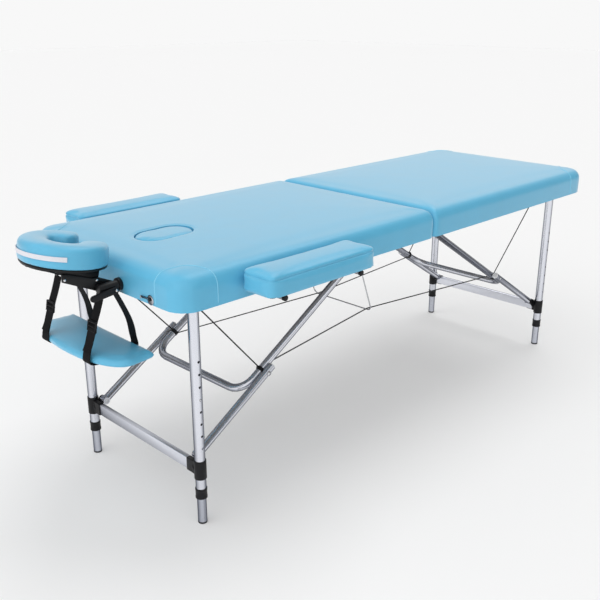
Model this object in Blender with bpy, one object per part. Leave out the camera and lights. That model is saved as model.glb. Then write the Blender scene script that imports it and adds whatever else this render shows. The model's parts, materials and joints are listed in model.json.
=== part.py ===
"""Folding massage table with face cradle, arm sling and armrests, modelled at its real size."""
import math

import bmesh
import bpy
from mathutils import Matrix, Vector

# Metres, +Z up. X runs along the table from the head end (-X) to the foot end (+X), and the model is
# drawn from the centre hinge line, which HINGE_X then sets off from the middle of the whole object.

# Clearances
SEAT = 0.0003
RUN = 0.0003
FOLD_CLEAR = 0.0015
SWING_CLEAR = 0.0112

# Deck halves
DECK_HALF_LENGTH = 0.93
DECK_HALF_WIDTH = 0.333
DECK_BOTTOM_Z = 0.613
SPLIT_GAP = 0.002
RAIL_WIDTH = 0.020
PANEL_THICKNESS = 0.004
FOAM_THICKNESS = 0.0288
SKIRT = 0.004
DECK_CORNER_RADIUS = 0.055
SPLIT_CORNER_RADIUS = 0.012
DECK_EDGE_ROUND = 0.036
SPLIT_EDGE_ROUND = 0.020
DECK_EDGE_DROP = 0.030
DECK_CROWN = 0.006
DECK_DRAW_IN = 0.0015
CROWN_STEPS = ((0.3, 0.6), (0.6, 0.92), (0.8, 1.0))

# Face hole and its plug
PLUG_SETBACK = 0.203
PLUG_LENGTH = 0.165
PLUG_WIDTH = 0.104
PLUG_GAP = 0.0012
BREATHING_LEDGE = 0.012

# Centre hinge
HINGE_AXIS_DROP = 0.0035
HINGE_KNUCKLE_RADIUS = 0.003
HINGE_PIN_RADIUS = 0.0015
HINGE_LEAF_WIDTH = 0.022
HINGE_LEAF_THICKNESS = 0.0012
HINGE_SIDE_INSET = 0.083
HINGE_KNUCKLES = 5

# Telescopic legs
LEG_END_INSET = 0.094
LEG_SIDE_INSET = 0.0826
LEG_RADIUS = 0.014
LEG_WALL = 0.0015
LEG_TOP_OVERRUN = 0.012
AXLE_RADIUS = 0.005
EXTENSION_OVERLAP = 0.026
FOOT_TIP_ROUND = 0.0015
HOLE_RADIUS = 0.0036
HOLE_PITCH = 0.0335
HOLE_COUNT = 8
TOP_HOLE_Z = 0.4547
BUTTON_HOLE = 3
BUTTON_LENGTH = 0.010
BUTTON_TRAVEL = 0.004
COLLAR_WALL = 0.0016
COLLAR_BOTTOM_Z = 0.075
COLLAR_TOP_Z = 0.103
COLLAR_LIP = 0.0012

# Clamps and crossbars between the legs
CLAMP_WALL = 0.002
CLAMP_BOTTOM_Z = 0.1316
CLAMP_TOP_Z = 0.1825
CLAMP_BLOCK_HALF = 0.009
EAR_THICKNESS = 0.005
EAR_RADIUS = 0.0105
EAR_RISE = 0.01875
CROSSBAR_HEIGHT = 0.032
CROSSBAR_THICKNESS = 0.013
CROSSBAR_WALL = 0.0015

# Fold linkage
STRUT_RADIUS = 0.011
STRUT_PIVOT_X = 0.06
STRUT_SIDE_INSET = 0.0564
STRUT_GAP = 0.0008
LOOP_OVERRUN = 0.082
LOOP_BEND = 0.05
LOWER_OVERRUN = 0.024
PIVOT_PIN_RADIUS = 0.003

# Cable take-up bail and cables
BAIL_X = -0.148
BAIL_WIRE_RADIUS = 0.002
BAIL_SIDE_INSET = 0.069
BAIL_PIN = 0.016
BAIL_CLIP = 0.012
BAIL_FOOT_X = -0.030
BAIL_FOOT_RISE = 0.0083
BAIL_BEND = 0.018
CABLE_RADIUS = 0.0015

# Armrests
ARMREST_SETBACK = 0.162
ARMREST_LENGTH = 0.364
ARMREST_WIDTH = 0.108
ARMREST_GAP = 0.008
ARMREST_RISE = 0.027
ARMREST_HEIGHT = 0.055
ARMREST_CORNER = 0.021
ARMREST_EDGE_ROUND = 0.014
ARMREST_CROWN = 0.003
ARMREST_SEAM_DEPTH = 0.0016
ARMREST_BASE_THICKNESS = 0.010
ARMREST_SKIN = 0.014
ROD_RADIUS = 0.006
ROD_INSET = 0.051
ROD_SINK = 0.001
ROD_CAP_RADIUS = 0.0085
ROD_CAP_LENGTH = 0.015
ROD_CAP_INSET = 0.006
ROD_BITE = 0.0127

# Latches at the ends
LATCH_SIDE_INSET = 0.113
LATCH_PLATE_WIDTH = 0.032
LATCH_PLATE_HEIGHT = 0.020
LATCH_PLATE_THICKNESS = 0.0015
LATCH_PIVOT_RADIUS = 0.0025
LATCH_PIVOT_RISE = 0.014
LATCH_HOOK_THICKNESS = 0.002
LATCH_HOOK_RADIUS = 0.0065
KEEPER_PIN_RADIUS = 0.0022
KEEPER_PIN_RISE = 0.009
KEEPER_PIN_LENGTH = 0.008

# Face cradle
POST_Y = 0.0965
POST_RISE = 0.022
POST_RADIUS = 0.008
POST_DEPTH = 0.08
FLANGE_RADIUS = 0.0155
FLANGE_THICKNESS = 0.008
SLEEVE_RADIUS = 0.011
SLEEVE_LENGTH = 0.052
ARM_PLATE_Y = 0.085
ARM_PLATE_THICKNESS = 0.004
ARM_REACH = 0.1415
ARM_TIP_RISE = 0.055
ARM_TIP_HEIGHT = 0.017
TILT_PIVOT_OUT = 0.055
TILT_PIVOT_RISE = 0.041
TILT_PIN_RADIUS = 0.003
PLATE_RISE = 0.0693
PLATE_THICKNESS = 0.004
PLATE_WIDTH = 0.066
TAB_THICKNESS = 0.003
LIP_DEPTH = 0.006
HEAD_REST_LEAN = 8.0
CUSHION_OUT = 0.0933
CUSHION_PATH_X = 0.063
CUSHION_PATH_Y = 0.083
CUSHION_WIDTH = 0.075
CUSHION_HEIGHT = 0.0546
CUSHION_MOUTH = 42.0
CUSHION_SECTION = ((-0.94, 0.0), (-1.0, 0.1), (-1.0, 0.5), (-0.92, 0.8), (-0.7, 0.96), (0.0, 1.0),
                   (0.7, 0.96), (0.92, 0.8), (1.0, 0.5), (1.0, 0.1), (0.94, 0.0))
CUSHION_END_REACH = 0.5
CUSHION_END_HEIGHT = 0.75
LEVER_OUT = 0.023
LEVER_RISE = 0.015
LEVER_LENGTH = 0.060
LEVER_RADIUS = 0.0075
LEVER_THICKNESS = 0.006
LEVER_GAP = 0.0035
LEVER_PIN_RADIUS = 0.004

# Arm sling
BOARD_TUCK = 0.026
BOARD_DEPTH = 0.138
BOARD_SHOULDER_DEPTH = 0.066
BOARD_BACK_HALF = 0.184
BOARD_SHOULDER_HALF = 0.190
BOARD_DROP = 0.131
BOARD_THICKNESS = 0.021
BOARD_CURVE_X = 1.0
BOARD_CURVE_Y = 0.9
STRAP_Y = 0.0965
STRAP_WIDTH = 0.025
STRAP_THICKNESS = 0.0016
STRAP_FRONT_OUT = 0.056
STRAP_REAR_OUT = 0.017
SLIDER_LENGTH = 0.026
SLIDER_WIDTH = 0.033
SLIDER_THICKNESS = 0.008
SLIDER_SHARE = 0.54
MITRE_LIMIT = 0.3

# Facets
ROUND_SIDES = 20
SMALL_SIDES = 10
HOLE_SIDES = 8
ARC_STEPS = 6
SMALL_ARC_STEPS = 4
LIP_STEPS = 4
CAP_STEPS = 4
SMOOTH_ANGLE = 32.0

# Worked out: places across the table
HINGE_LENGTH = 2 * (DECK_HALF_WIDTH - HINGE_SIDE_INSET)
LEG_Y = DECK_HALF_WIDTH - LEG_SIDE_INSET
UPPER_STRUT_Y = LEG_Y - STRUT_SIDE_INSET
BAIL_HALF_WIDTH = UPPER_STRUT_Y - BAIL_SIDE_INSET
LATCH_Y = DECK_HALF_WIDTH - LATCH_SIDE_INSET

# Worked out: parts that fit one another
EXTENSION_RADIUS = LEG_RADIUS - LEG_WALL - RUN
BUTTON_RADIUS = HOLE_RADIUS - RUN
COLLAR_RADIUS = LEG_RADIUS + COLLAR_WALL
CLAMP_RADIUS = LEG_RADIUS + CLAMP_WALL

# Worked out: the folding stack in the bay under each half, from the deck's lower edge upwards
LEG_X = DECK_HALF_LENGTH - LEG_END_INSET
LEG_AXIS_Z = DECK_BOTTOM_Z + CLAMP_RADIUS + SEAT
STRUT_RISE = CROSSBAR_THICKNESS / 2 + FOLD_CLEAR + STRUT_RADIUS
STRUT_AXIS_Z = LEG_AXIS_Z + STRUT_RISE
BAY_TOP_Z = STRUT_AXIS_Z + STRUT_RADIUS + SWING_CLEAR
PANEL_Z = BAY_TOP_Z + SEAT
FOAM_Z = PANEL_Z + PANEL_THICKNESS + SEAT
DECK_TOP_Z = FOAM_Z + FOAM_THICKNESS
HINGE_AXIS_Z = DECK_BOTTOM_Z - HINGE_AXIS_DROP
RAIL_OUTER_Y = DECK_HALF_WIDTH - SKIRT - SEAT
RAIL_INNER_Y = RAIL_OUTER_Y - RAIL_WIDTH
ROD_INNER_Y = RAIL_INNER_Y - ROD_BITE
RAIL_OUTER_X = DECK_HALF_LENGTH - SKIRT - SEAT
RAIL_SPLIT_X = SPLIT_GAP / 2 + SKIRT + SEAT
BUTTON_Z = TOP_HOLE_Z - BUTTON_HOLE * HOLE_PITCH
LOWER_STRUT_Y = UPPER_STRUT_Y + 2 * STRUT_RADIUS + STRUT_GAP
EAR_Y = LOWER_STRUT_Y + STRUT_RADIUS + STRUT_GAP
CROSSBAR_HALF_LENGTH = EAR_Y - SEAT
CROSSBAR_Z = (CLAMP_BOTTOM_Z + CLAMP_TOP_Z) / 2
LEG_JOINT_DROP = LEG_AXIS_Z - CROSSBAR_Z - EAR_RISE
LEG_JOINT = Vector((LEG_X - STRUT_RISE, 0, LEG_AXIS_Z - LEG_JOINT_DROP))
STRUT_PIVOT = Vector((STRUT_PIVOT_X, 0, STRUT_AXIS_Z))
STRUT_SPAN = (LEG_JOINT - STRUT_PIVOT).length
STRUT_LINE = (LEG_JOINT - STRUT_PIVOT).normalized()
UPPER_LINK = (STRUT_SPAN + LEG_X - STRUT_PIVOT_X - LEG_JOINT_DROP) / 2
KNUCKLE = STRUT_PIVOT + UPPER_LINK * STRUT_LINE
BAIL_Z = STRUT_AXIS_Z
BAIL_FOOT_Z = KNUCKLE.z + BAIL_FOOT_RISE

# Worked out: fittings at the head end, set back from or out past the deck's end
HEAD_X = -DECK_HALF_LENGTH
PLUG_X = HEAD_X + PLUG_SETBACK
ARMREST_X = (HEAD_X + ARMREST_SETBACK, HEAD_X + ARMREST_SETBACK + ARMREST_LENGTH)
ARMREST_BOTTOM_Z = DECK_BOTTOM_Z + ARMREST_RISE
ARMREST_BASE_PROUD = ROD_CAP_RADIUS - ROD_RADIUS + SEAT + ROD_SINK
ROD_X = (ARMREST_X[0] + ROD_INSET, ARMREST_X[1] - ROD_INSET)
ROD_Z = ARMREST_BOTTOM_Z - SEAT - ROD_CAP_RADIUS
POST_Z = DECK_BOTTOM_Z + POST_RISE
TILT_PIVOT_X = HEAD_X - TILT_PIVOT_OUT
TILT_PIVOT_Z = DECK_BOTTOM_Z + TILT_PIVOT_RISE
PLATE_BOTTOM_Z = DECK_BOTTOM_Z + PLATE_RISE
CUSHION_X = HEAD_X - CUSHION_OUT
CUSHION_BOTTOM_Z = PLATE_BOTTOM_Z + PLATE_THICKNESS + SEAT
LEVER_X = HEAD_X - LEVER_OUT
LEVER_Z = DECK_BOTTOM_Z + LEVER_RISE
BOARD_BACK_X = HEAD_X + BOARD_TUCK
BOARD_FRONT_X = BOARD_BACK_X - BOARD_DEPTH
BOARD_SHOULDER_X = BOARD_BACK_X - BOARD_SHOULDER_DEPTH
BOARD_TOP_Z = DECK_BOTTOM_Z - BOARD_DROP
FOOT_REACH = DECK_HALF_LENGTH + SEAT + LATCH_PLATE_THICKNESS + KEEPER_PIN_LENGTH
TILT_PIVOT = Matrix.Translation((TILT_PIVOT_X, 0, TILT_PIVOT_Z))
LEAN = TILT_PIVOT @ Matrix.Rotation(math.radians(HEAD_REST_LEAN), 4, "Y") @ TILT_PIVOT.inverted()
CUSHION_TOE = LEAN @ Vector((CUSHION_X - CUSHION_PATH_X - CUSHION_WIDTH / 2, 0,
                             CUSHION_BOTTOM_Z + CUSHION_SECTION[1][1] * CUSHION_HEIGHT))
HINGE_X = -(CUSHION_TOE.x + FOOT_REACH) / 2

FINISHES = {
    "sky_blue_vinyl": ("#6FB9DC", 0.45, 0.0),
    "polished_aluminium": ("#C9CCD2", 0.22, 1.0),
    "bright_steel": ("#D5D6D8", 0.18, 1.0),
    "black_nylon": ("#17181A", 0.50, 0.0),
    "black_steel": ("#1E1F22", 0.42, 0.2),
    "black_webbing": ("#141416", 0.85, 0.0),
    "plywood": ("#C8A878", 0.70, 0.0),
    "coated_cable": ("#3A3C40", 0.45, 0.3),
}


def linear(hex_colour):
    """Turn an sRGB hex colour into linear RGBA."""
    parts = [int(hex_colour[i:i + 2], 16) / 255 for i in (1, 3, 5)]
    return [c / 12.92 if c <= 0.04045 else ((c + 0.055) / 1.055) ** 2.4 for c in parts] + [1.0]


def clear_scene():
    for obj in list(bpy.data.objects):
        bpy.data.objects.remove(obj, do_unlink=True)


def new_collection(name):
    collection = bpy.data.collections.new(name)
    bpy.context.scene.collection.children.link(collection)
    return collection


def new_material(name, finish):
    colour, roughness, metallic = FINISHES[finish]
    material = bpy.data.materials.new(name)
    material.use_nodes = True
    shader = material.node_tree.nodes["Principled BSDF"]
    shader.inputs["Base Color"].default_value = linear(colour)
    shader.inputs["Roughness"].default_value = roughness
    shader.inputs["Metallic"].default_value = metallic
    return material


def link_mesh(bm, name="blank"):
    """Make an object of a bmesh, among the cutters until it is placed."""
    mesh = bpy.data.meshes.new(name)
    bm.normal_update()
    bm.to_mesh(mesh)
    bm.free()
    obj = bpy.data.objects.new(name, mesh)
    CUTTERS.objects.link(obj)
    return obj


def box(low, high):
    low, high = Vector(low), Vector(high)
    bm = bmesh.new()
    bmesh.ops.create_cube(bm, size=1)
    bmesh.ops.scale(bm, vec=high - low, verts=bm.verts)
    bmesh.ops.translate(bm, vec=(low + high) / 2, verts=bm.verts)
    return link_mesh(bm)


def rod(start, end, radius, sides=ROUND_SIDES):
    start, end = Vector(start), Vector(end)
    turn = (end - start).to_track_quat("Z", "Y").to_matrix().to_4x4()
    bm = bmesh.new()
    bmesh.ops.create_cone(bm, cap_ends=True, segments=sides, radius1=radius, radius2=radius,
                          depth=(end - start).length, matrix=Matrix.Translation((start + end) / 2) @ turn)
    return link_mesh(bm)


def cross_rod(x, y0, y1, z, radius, sides=ROUND_SIDES):
    return rod((x, y0, z), (x, y1, z), radius, sides)


def mesh_of(curve_object):
    """Make a welded mesh object of a curve and remove the curve."""
    bpy.context.view_layer.update()
    graph = bpy.context.evaluated_depsgraph_get()
    mesh = bpy.data.meshes.new_from_object(curve_object.evaluated_get(graph))
    bm = bmesh.new()
    bm.from_mesh(mesh)
    bmesh.ops.remove_doubles(bm, verts=bm.verts, dist=1e-6)
    bmesh.ops.transform(bm, matrix=curve_object.matrix_world, verts=bm.verts)
    bmesh.ops.recalc_face_normals(bm, faces=bm.faces)
    bpy.data.objects.remove(curve_object, do_unlink=True)
    bpy.data.meshes.remove(mesh)
    return link_mesh(bm)


def wire(points, radius, resolution=2):
    """A round bar along a polyline."""
    curve = bpy.data.curves.new("wire", "CURVE")
    curve.dimensions = "3D"
    curve.bevel_depth = radius
    curve.bevel_resolution = resolution
    curve.use_fill_caps = True
    spline = curve.splines.new("POLY")
    spline.points.add(len(points) - 1)
    for point, place in zip(spline.points, points):
        point.co = (*place, 1)
    obj = bpy.data.objects.new("wire", curve)
    CUTTERS.objects.link(obj)
    return mesh_of(obj)


def plate(outlines, thickness, matrix):
    """Extrude closed 2D outlines by a thickness about their plane, then set them with a matrix."""
    curve = bpy.data.curves.new("plate", "CURVE")
    curve.dimensions = "2D"
    curve.fill_mode = "BOTH"
    curve.extrude = thickness / 2
    for outline in outlines:
        spline = curve.splines.new("POLY")
        spline.points.add(len(outline) - 1)
        spline.use_cyclic_u = True
        for point, place in zip(spline.points, outline):
            point.co = (*place, 0, 1)
    obj = bpy.data.objects.new("plate", curve)
    obj.matrix_world = matrix
    CUTTERS.objects.link(obj)
    return mesh_of(obj)


def side_plate(outlines, y, thickness):
    """A plate whose outline is drawn in X and Z, centred on y."""
    return plate(outlines, thickness, Matrix.Translation((0, y, 0)) @ Matrix.Rotation(math.pi / 2, 4, "X"))


def end_plate(outlines, x, thickness):
    """A plate whose outline is drawn in Y and Z, centred on x."""
    turn = Matrix(((0, 0, 1, x), (1, 0, 0, 0), (0, 1, 0, 0), (0, 0, 0, 1)))
    return plate(outlines, thickness, turn)


def combine(target, tools, operation):
    """Join or cut a mesh object with others, which are used up."""
    for tool in tools:
        modifier = target.modifiers.new(operation.lower(), "BOOLEAN")
        modifier.operation = operation
        modifier.object = tool
    bpy.context.view_layer.update()
    graph = bpy.context.evaluated_depsgraph_get()
    mesh = bpy.data.meshes.new_from_object(target.evaluated_get(graph))
    target.modifiers.clear()
    target.data = mesh
    for tool in tools:
        bpy.data.objects.remove(tool, do_unlink=True)
    return target


def cut(target, *tools):
    return combine(target, tools, "DIFFERENCE")


def join(target, *tools):
    return combine(target, tools, "UNION")


def turned(profile, centre):
    """Spin a closed profile of radius and height about an upright axis."""
    bm = bmesh.new()
    verts = [bm.verts.new((r, 0, z)) for r, z in profile]
    edges = [bm.edges.new(pair) for pair in zip(verts, verts[1:] + verts[:1])]
    bmesh.ops.spin(bm, geom=verts + edges, axis=(0, 0, 1), angle=2 * math.pi, steps=ROUND_SIDES)
    bmesh.ops.remove_doubles(bm, verts=bm.verts, dist=1e-6)
    bmesh.ops.recalc_face_normals(bm, faces=bm.faces)
    bmesh.ops.translate(bm, vec=(*centre, 0), verts=bm.verts)
    return link_mesh(bm)


def mirrored(obj, axis):
    """Reflect an object in the plane through the hinge line square to an axis."""
    obj.data.transform(Matrix.Scale(-1, 4, axis))
    obj.data.flip_normals()
    return obj


def arc(centre, radius, start, end, steps):
    """Points of a plane arc, angles in degrees."""
    angles = [math.radians(start + (end - start) * i / steps) for i in range(steps + 1)]
    return [(centre[0] + radius * math.cos(a), centre[1] + radius * math.sin(a)) for a in angles]


def stadium(centre, length, width, steps=8):
    """A round-ended slot along X."""
    reach = (length - width) / 2
    right = arc((centre[0] + reach, centre[1]), width / 2, -90, 90, steps)
    return right + arc((centre[0] - reach, centre[1]), width / 2, 90, 270, steps)


def link_outline(start, end, radius, steps=8):
    """A flat link with round ends, between two plane points."""
    angle = math.degrees(math.atan2(end[1] - start[1], end[0] - start[0]))
    return (arc(end, radius, angle - 90, angle + 90, steps)
            + arc(start, radius, angle + 90, angle + 270, steps))


def filleted(points, radius, steps=ARC_STEPS):
    """Round the inner corners of a 3D polyline with arcs of one radius."""
    points = [Vector(p) for p in points]
    rounded = [points[0]]
    for before, corner, after in zip(points, points[1:], points[2:]):
        u, v = (before - corner).normalized(), (after - corner).normalized()
        half = u.angle(v) / 2
        centre = corner + (u + v).normalized() * radius / math.sin(half)
        first = corner + u * radius / math.tan(half) - centre
        last = corner + v * radius / math.tan(half) - centre
        rounded += [centre + first.slerp(last, i / steps) * radius / first.slerp(last, i / steps).length
                    for i in range(steps + 1)]
    return rounded + [points[-1]]


def rounded_rectangle(x0, x1, half_width, radius0, radius1, steps=ARC_STEPS):
    corners = ((x1 - radius1, half_width - radius1, radius1, 0),
               (x0 + radius0, half_width - radius0, radius0, 90),
               (x0 + radius0, radius0 - half_width, radius0, 180),
               (x1 - radius1, radius1 - half_width, radius1, 270))
    return [point for x, y, r, turn in corners for point in arc((x, y), r, turn, turn + 90, steps)]


def loft(rings):
    """Skin a run of equal rings, with a face on the first and the last."""
    bm = bmesh.new()
    rows = [[bm.verts.new(point) for point in ring] for ring in rings]
    for low, high in zip(rows, rows[1:]):
        for i in range(len(low)):
            j = (i + 1) % len(low)
            bm.faces.new((low[i], low[j], high[j], high[i]))
    bm.faces.new(reversed(rows[0]))
    bm.faces.new(rows[-1])
    bmesh.ops.recalc_face_normals(bm, faces=bm.faces)
    return link_mesh(bm)


def upholstery(x0, x1, half_width, z0, z1, recess, corners, edges, drop, crown, seam=0.0, steps=ARC_STEPS):
    """A crowned pad wrapped down over its base: a recess from below takes the base.

    recess is the wall left round it and its ceiling, corners and edges are the plan and edge radii at
    x0 and at x1, drop is the height of the edge rounding, and seam the depth of a welt under it.
    """
    wall, ceiling = recess

    def ring(in0, in1, z):
        side = max(in0, in1)
        radius0 = max(corners[0] - in0, SKIRT / 2)
        radius1 = max(corners[1] - in1, SKIRT / 2)
        return [(x, y, z) for x, y in
                rounded_rectangle(x0 + in0, x1 - in1, half_width - side, radius0, radius1, steps)]

    shoulder = z1 - crown - drop
    rings = [ring(wall, wall, ceiling), ring(wall, wall, z0), ring(0, 0, z0),
             ring(DECK_DRAW_IN, DECK_DRAW_IN, (z0 + shoulder) / 2)]
    if seam:
        rings += [ring(0, 0, shoulder - 2 * seam), ring(seam, seam, shoulder - seam)]
    for i in range(steps + 1):
        a = math.radians(90 * i / steps)
        rings.append(ring(edges[0] * (1 - math.cos(a)), edges[1] * (1 - math.cos(a)),
                          shoulder + drop * math.sin(a)))
    reach = half_width - max(edges)
    for share, rise in CROWN_STEPS:
        rings.append(ring(edges[0] + share * reach, edges[1] + share * reach, z1 - crown * (1 - rise)))
    return loft(rings)


def place(obj, name, body, finish):
    """Name a finished solid, give it its material and hang it on its body's empty."""
    CUTTERS.objects.unlink(obj)
    PARTS.objects.link(obj)
    obj.name = obj.data.name = name
    obj.data.materials.clear()
    obj.data.materials.append(new_material(name + "_" + finish, finish))
    obj.data.transform(Matrix.Translation(-PIVOTS[body]))
    obj.data.shade_smooth()
    obj.data.set_sharp_from_angle(angle=math.radians(SMOOTH_ANGLE))
    obj.parent = EMPTIES[body]


def make_bodies():
    """One empty for each moving body, on its joint's axis."""
    leg = Vector((LEG_X, 0, LEG_AXIS_Z))
    tree = [("head_deck", None, Vector((0, 0, 0))),
            ("foot_deck", "head_deck", Vector((0, 0, HINGE_AXIS_Z))),
            ("face_plug", "head_deck", Vector((PLUG_X, 0, FOAM_Z))),
            ("take_up_bail", "head_deck", Vector((BAIL_X, 0, BAIL_Z))),
            ("cradle", "head_deck", Vector((HEAD_X, 0, POST_Z))),
            ("head_rest", "cradle", Vector((TILT_PIVOT_X, 0, TILT_PIVOT_Z))),
            ("cam_lever", "cradle", Vector((LEVER_X, -POST_Y, LEVER_Z)))]
    for end, turn in (("head", -1), ("foot", 1)):
        deck, frame = end + "_deck", end + "_leg_frame"
        tree += [(frame, deck, Vector((turn * leg.x, 0, leg.z))),
                 (end + "_upper_strut", deck, Vector((turn * STRUT_PIVOT.x, 0, STRUT_PIVOT.z))),
                 (end + "_lower_struts", frame, Vector((turn * LEG_JOINT.x, 0, LEG_JOINT.z)))]
        for side, out in SIDES:
            tree += [(f"{end}_{side}_extension", frame, Vector((turn * LEG_X, out * LEG_Y, 0))),
                     (f"{end}_{side}_button", f"{end}_{side}_extension",
                      Vector((turn * LEG_X, out * LEG_Y, BUTTON_Z)))]
    for side, out in SIDES:
        tree += [(f"{side}_armrest", "head_deck", Vector((ROD_X[0], out * DECK_HALF_WIDTH, ROD_Z))),
                 (f"{side}_latch", "head_deck",
                  Vector((HEAD_X, out * LATCH_Y, DECK_BOTTOM_Z + LATCH_PIVOT_RISE)))]
    for name, parent, pivot in tree:
        empty = bpy.data.objects.new(name + "_axis", None)
        empty.empty_display_size = 0.02
        PARTS.objects.link(empty)
        PIVOTS[name], EMPTIES[name] = pivot, empty
        empty.location = pivot + Vector((HINGE_X, 0, 0)) if parent is None else pivot - PIVOTS[parent]
        empty.parent = EMPTIES.get(parent)


def deck_pad(end):
    pad = upholstery(HEAD_X, -SPLIT_GAP / 2, DECK_HALF_WIDTH, DECK_BOTTOM_Z, DECK_TOP_Z,
                     (SKIRT, FOAM_Z), (DECK_CORNER_RADIUS, SPLIT_CORNER_RADIUS),
                     (DECK_EDGE_ROUND, SPLIT_EDGE_ROUND), DECK_EDGE_DROP, DECK_CROWN)
    if end == "foot":
        return mirrored(pad, (1, 0, 0))
    hole = stadium((PLUG_X, 0), PLUG_LENGTH, PLUG_WIDTH)
    middle = (FOAM_Z + DECK_TOP_Z) / 2
    through = plate([hole], 2 * FOAM_THICKNESS, Matrix.Translation((0, 0, middle)))
    return cut(pad, through, *fitting_bores(SKIRT))


def fitting_bores(depth):
    """Round cutters for the cradle's posts and the armrests' rods, a depth past the rails' outer faces."""
    posts = [rod((HEAD_X - SKIRT, out * POST_Y, POST_Z), (depth - RAIL_OUTER_X, out * POST_Y, POST_Z),
                 POST_RADIUS + RUN) for _, out in SIDES]
    return posts + [cross_rod(x, out * (DECK_HALF_WIDTH + SKIRT), out * (RAIL_OUTER_Y - depth), ROD_Z,
                              ROD_RADIUS + RUN) for _, out in SIDES for x in ROD_X]


def frame_outline(inset):
    """The head half's frame in plan inside the wrapped vinyl, drawn in by an inset."""
    outer = max(DECK_CORNER_RADIUS - SKIRT - SEAT - inset, SKIRT)
    split = max(SPLIT_CORNER_RADIUS - SKIRT - SEAT - inset, SKIRT)
    return rounded_rectangle(inset - RAIL_OUTER_X, -RAIL_SPLIT_X - inset, RAIL_OUTER_Y - inset, outer, split)


def deck_rails(end):
    """The ring of rails that the vinyl is wrapped over, bored at the head end for posts and rods."""
    depth = BAY_TOP_Z - DECK_BOTTOM_Z
    middle = Matrix.Translation((0, 0, DECK_BOTTOM_Z + depth / 2))
    ring = plate([frame_outline(0)], depth, middle)
    bay = plate([frame_outline(RAIL_WIDTH)], 2 * depth, middle)
    if end == "foot":
        return join(mirrored(cut(ring, bay), (1, 0, 0)), *[keeper(out) for _, out in SIDES])
    return cut(ring, bay, *fitting_bores(RAIL_WIDTH + SKIRT))


def keeper(out):
    """An angle plate under the foot rail with the pin that the latch hook catches."""
    face = DECK_HALF_LENGTH + SEAT
    low = DECK_BOTTOM_Z - LATCH_PLATE_THICKNESS
    y0, y1 = out * LATCH_Y - LATCH_PLATE_WIDTH / 2, out * LATCH_Y + LATCH_PLATE_WIDTH / 2
    foot = box((RAIL_OUTER_X - RAIL_WIDTH / 2, y0, low), (face + LATCH_PLATE_THICKNESS, y1, DECK_BOTTOM_Z))
    foot.data.transform(Matrix.Translation((0, 0, -SEAT)))
    root = box((RAIL_OUTER_X - RAIL_WIDTH / 2, y0, low), (RAIL_OUTER_X - SKIRT, y1, DECK_BOTTOM_Z + SKIRT))
    face_plate = box((face, y0, low), (face + LATCH_PLATE_THICKNESS, y1, DECK_BOTTOM_Z + LATCH_PLATE_HEIGHT))
    z = DECK_BOTTOM_Z + KEEPER_PIN_RISE
    pin = rod((face, out * LATCH_Y, z), (FOOT_REACH, out * LATCH_Y, z), KEEPER_PIN_RADIUS, SMALL_SIDES)
    return join(foot, root, face_plate, pin)


def deck_panel(end):
    middle = Matrix.Translation((0, 0, PANEL_Z + PANEL_THICKNESS / 2))
    panel = plate([frame_outline(0)], PANEL_THICKNESS, middle)
    if end == "foot":
        return mirrored(panel, (1, 0, 0))
    hole = stadium((PLUG_X, 0), PLUG_LENGTH - 2 * BREATHING_LEDGE, PLUG_WIDTH - 2 * BREATHING_LEDGE)
    cut(panel, plate([hole], 2 * PANEL_THICKNESS, middle))
    reach = BAIL_WIRE_RADIUS + RUN
    for _, out in SIDES:
        y0 = out * (BAIL_HALF_WIDTH + BAIL_WIRE_RADIUS + RUN)
        y1 = y0 + out * BAIL_CLIP
        clip = box((BAIL_X - BAIL_CLIP / 2, min(y0, y1), BAIL_Z - BAIL_CLIP / 2),
                   (BAIL_X + BAIL_CLIP / 2, max(y0, y1), PANEL_Z + PANEL_THICKNESS / 2))
        join(panel, clip)
        cut(panel, cross_rod(BAIL_X, y0 - out * reach, y1 + out * reach, BAIL_Z, reach, SMALL_SIDES))
    return panel


def face_plug():
    """The stuffed plug in the face hole: a stadium with a crowned top, on the ledge of the panel."""
    length, width = PLUG_LENGTH - 2 * PLUG_GAP, PLUG_WIDTH - 2 * PLUG_GAP
    edge = DECK_CROWN / 2

    def ring(inset, z):
        return [(x, y, z) for x, y in stadium((PLUG_X, 0), length - 2 * inset, width - 2 * inset)]

    rings = [ring(0, FOAM_Z)]
    for i in range(CAP_STEPS + 1):
        a = math.radians(90 * i / CAP_STEPS)
        rings.append(ring(edge * (1 - math.cos(a)), DECK_TOP_Z - edge * (2 - math.sin(a))))
    rings.append(ring(width / 4, DECK_TOP_Z - edge / 2))
    return loft(rings)


def hinge_leaf(turn):
    """One leaf of the centre hinge; turn is -1 for the head leaf, whose end knuckles hold the pin."""
    half = HINGE_LENGTH / 2
    step = HINGE_LENGTH / HINGE_KNUCKLES
    top = DECK_BOTTOM_Z - SEAT
    low = top - HINGE_LEAF_THICKNESS
    inner = HINGE_KNUCKLE_RADIUS + 2 * RUN
    leaf = box((-HINGE_LEAF_WIDTH, -half, low), (-inner, half, top))
    tools = []
    for i in range(0 if turn < 0 else 1, HINGE_KNUCKLES, 2):
        y0, y1 = -half + i * step + RUN, -half + (i + 1) * step - RUN
        tools.append(cross_rod(0, y0, y1, HINGE_AXIS_Z, HINGE_KNUCKLE_RADIUS, SMALL_SIDES))
        tools.append(box((-inner - SEAT, y0, low), (-HINGE_KNUCKLE_RADIUS / 2, y1, top - SEAT)))
    join(leaf, *tools)
    cut(leaf, cross_rod(0, -half - SKIRT, half + SKIRT, HINGE_AXIS_Z, HINGE_PIN_RADIUS + RUN, SMALL_SIDES))
    return leaf if turn < 0 else mirrored(leaf, (1, 0, 0))


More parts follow.
